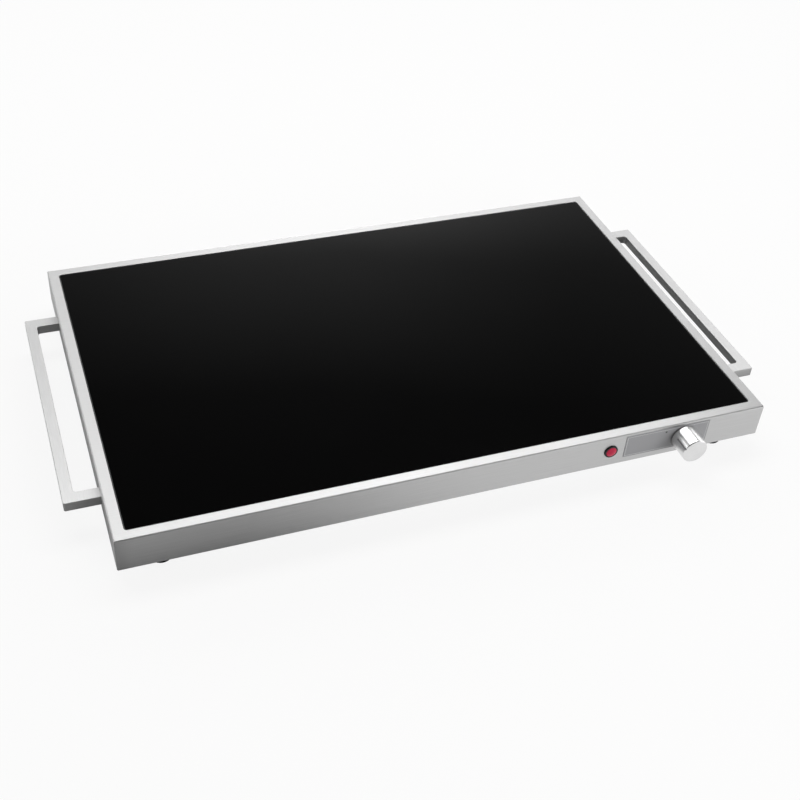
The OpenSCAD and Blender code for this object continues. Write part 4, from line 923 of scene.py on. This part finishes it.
# %% Floor and sky
bm = bmesh.new()
bmesh.ops.create_grid(bm, x_segments=1, y_segments=1, size=20)
floor = bpy.data.objects.new("floor", bpy.data.meshes.new("floor"))
bm.to_mesh(floor.data)
bm.free()
bpy.context.scene.collection.objects.link(floor)
sweep, tree = new_material("white_sweep")
path = add(tree, "LightPath").outputs
seen = add(tree, "Math", {0: path["Is Camera Ray"], 1: path["Is Glossy Ray"]}, operation="MAXIMUM")
seen = add(tree, "Math", {0: seen.outputs[0], 1: path["Is Transmission Ray"]}, operation="MAXIMUM")
glow_share = 0.88
share = add(tree, "Math", {0: seen.outputs[0], 1: glow_share}, operation="MULTIPLY").outputs[0]
matt = add(tree, "BsdfDiffuse", {"Color": colour("#f2f2f1")}).outputs[0]
glow = add(tree, "Emission", {"Color": (1, 1, 1, 1), "Strength": 1}).outputs[0]
mixed = add(tree, "MixShader", {0: share, 1: matt, 2: glow})
add(tree, "OutputMaterial", {"Surface": mixed.outputs[0]})
floor.data.materials.append(sweep)

sky = bpy.data.worlds.new("sky")
bpy.context.scene.world = sky
sky.use_nodes = True
tree = sky.node_tree
tree.nodes.clear()
direction = add(tree, "TexCoord").outputs["Generated"]
axes = add(tree, "SeparateXYZ", {0: direction}).outputs


def sky_ramp(marks):
    """Grey by height, where 0 is the horizon and 1 is straight up."""
    ramp = add(tree, "ValToRGB", {"Fac": axes["Z"]})
    ramp.color_ramp.elements[1].position = marks[-1][0]
    for at, grey in marks[1:-1]:
        ramp.color_ramp.elements.new(at)
    for mark, (at, grey) in zip(ramp.color_ramp.elements, marks):
        mark.position = at
        mark.color = (grey, grey, grey, 1)
    return ramp.outputs[0]


def between(factor, first, second):
    """A mix of two skies; 0 is the first."""
    mixed = add(tree, "Mix", {"Factor": factor}, data_type="RGBA")
    tree.links.new(first, mixed.inputs["A"])
    tree.links.new(second, mixed.inputs["B"])
    return mixed.outputs["Result"]


def soft_step(value, low, high):
    """0 below low and 1 above high, with an easy turn at both."""
    return add(tree, "MapRange", {"Value": value, "From Min": low, "From Max": high},
               interpolation_type="SMOOTHSTEP").outputs["Result"]


behind = sky_ramp([
    (0.0, 1.0), (0.1, 4.2), (0.43, 5.2), (0.49, 0.9), (0.55, 0.22), (0.64, 0.05), (0.74, 0.02)])
beside = sky_ramp([
    (0.0, 1.0), (0.1, 2.2), (0.4, 2.2), (0.48, 0.25), (0.54, 0.09), (0.64, 0.03), (0.74, 0.02)])
# before the tray the sky is dim at the left and bright low down at the right, like its front wall
before_left = sky_ramp([(0.0, 0.35), (0.2, 0.25), (0.5, 0.1), (0.74, 0.02)])
before_right = sky_ramp([(0.0, 1.0), (0.05, 3.0), (0.18, 3.0), (0.27, 1.3), (0.6, 0.5), (0.74, 0.02)])
# the glow is brightest a little to the right of straight behind the tray, and fades to both sides
glow_turn = math.radians(16)
aside = add(tree, "VectorMath", {
    0: direction, 1: (math.cos(glow_turn), -math.sin(glow_turn), 0),
}, operation="DOT_PRODUCT").outputs["Value"]
aside = add(tree, "Math", {0: aside}, operation="ABSOLUTE").outputs[0]
backwards = between(soft_step(aside, 0.02, 0.26), behind, beside)
before = between(soft_step(axes["X"], 0.05, 0.6), before_left, before_right)
around = between(soft_step(axes["Y"], -0.1, 0.25), before, backwards)
lit = add(tree, "Background", {"Color": around, "Strength": 1})
plain = add(tree, "Background", {"Color": (1, 1, 1, 1), "Strength": 1})
seen = add(tree, "LightPath").outputs["Is Camera Ray"]
mixed = add(tree, "MixShader", {0: seen, 1: lit.outputs[0], 2: plain.outputs[0]})
add(tree, "OutputWorld", {"Surface": mixed.outputs[0]})
print("floor and sky")

# %% [markdown]
# Two soft boxes light the tray: a large one high behind it, whose light the brushed rim spreads
# towards the camera, and a fill at the right of the front for the label, which no surface mirrors.
# Upright steel mirrors the floor at its foot. Grey cards lie there, which only mirror images show: they
# are painted shade, the floor's shade beside the tray, and give the walls and the handles' upright faces
# their depth.

# %% Lamps
def soft_box(name, place, aim, width, height, watts, mirrored=True):
    """A rectangular lamp that faces a point."""
    lamp = bpy.data.objects.new(name, bpy.data.lights.new(name, "AREA"))
    lamp.data.shape = "RECTANGLE"
    lamp.data.size = width
    lamp.data.size_y = height
    lamp.data.energy = watts
    lamp.visible_glossy = mirrored
    place = Vector(place)
    lamp.matrix_world = Matrix.Translation(place) @ (
        Vector(aim) - place).to_track_quat("-Z", "Y").to_matrix().to_4x4()
    bpy.context.scene.collection.objects.link(lamp)


soft_box("overhead", (0.22, 0.80, 1.72), (0.22, 0, 0), 2.6, 0.65, 24)
soft_box("right front", (0.8, -1.5, 0.5), (0.25, -0.2, 0.03), 1.0, 0.6, 11, mirrored=False)
print("two soft boxes")

# %% Grey cards of painted shade
def mirror_shade_card(name, low, high, tone, fade_from, fade_to):
    """A card of painted shade on the floor between two corners, seen only in mirror images, that fades
    out along X between two places.
    """
    size = Vector(high) - Vector(low)
    middle = (Vector(high) + Vector(low)) / 2
    bm = bmesh.new()
    bmesh.ops.create_grid(bm, x_segments=1, y_segments=1, size=0.5)
    bmesh.ops.scale(bm, vec=(size.x, size.y, 1), verts=bm.verts)
    bmesh.ops.translate(bm, vec=(middle.x, middle.y, 0.5 * MM), verts=bm.verts)
    card = bpy.data.objects.new(name, bpy.data.meshes.new(name))
    bm.to_mesh(card.data)
    bm.free()
    bpy.context.scene.collection.objects.link(card)
    card.visible_camera = card.visible_shadow = card.visible_diffuse = False
    material, tree = new_material(name)
    place = add(tree, "SeparateXYZ", {0: add(tree, "TexCoord").outputs["Object"]}).outputs["X"]
    fade = add(tree, "MapRange", {"Value": place, "From Min": fade_from, "From Max": fade_to},
               interpolation_type="SMOOTHSTEP").outputs["Result"]
    grey = add(tree, "BsdfDiffuse", {"Color": colour(tone)})
    clear = add(tree, "BsdfTransparent")
    mixed = add(tree, "MixShader", {0: fade, 1: grey.outputs[0], 2: clear.outputs[0]})
    add(tree, "OutputMaterial", {"Surface": mixed.outputs[0]})
    card.data.materials.append(material)


# painted shade: grey sheets that only mirror images see stand for the floor's shade in front of the tray,
# at its left, and between the right handle and the wall
mirror_shade_card("mirror_shade_before", (-0.29, -1.0), (0.1, -0.18), "#d8d8d8", -0.22, 0.06)
mirror_shade_card("mirror_shade_left", (-0.9, -0.9), (-0.29, 2.5), "#b4b4b4", 0, 1)
mirror_shade_card("mirror_shade_right", (0.29, -0.16), (0.40, 0.16), "#5c5c5c", 1, 2)
bpy.context.scene.view_settings.view_transform = "Standard"
print("three grey cards")
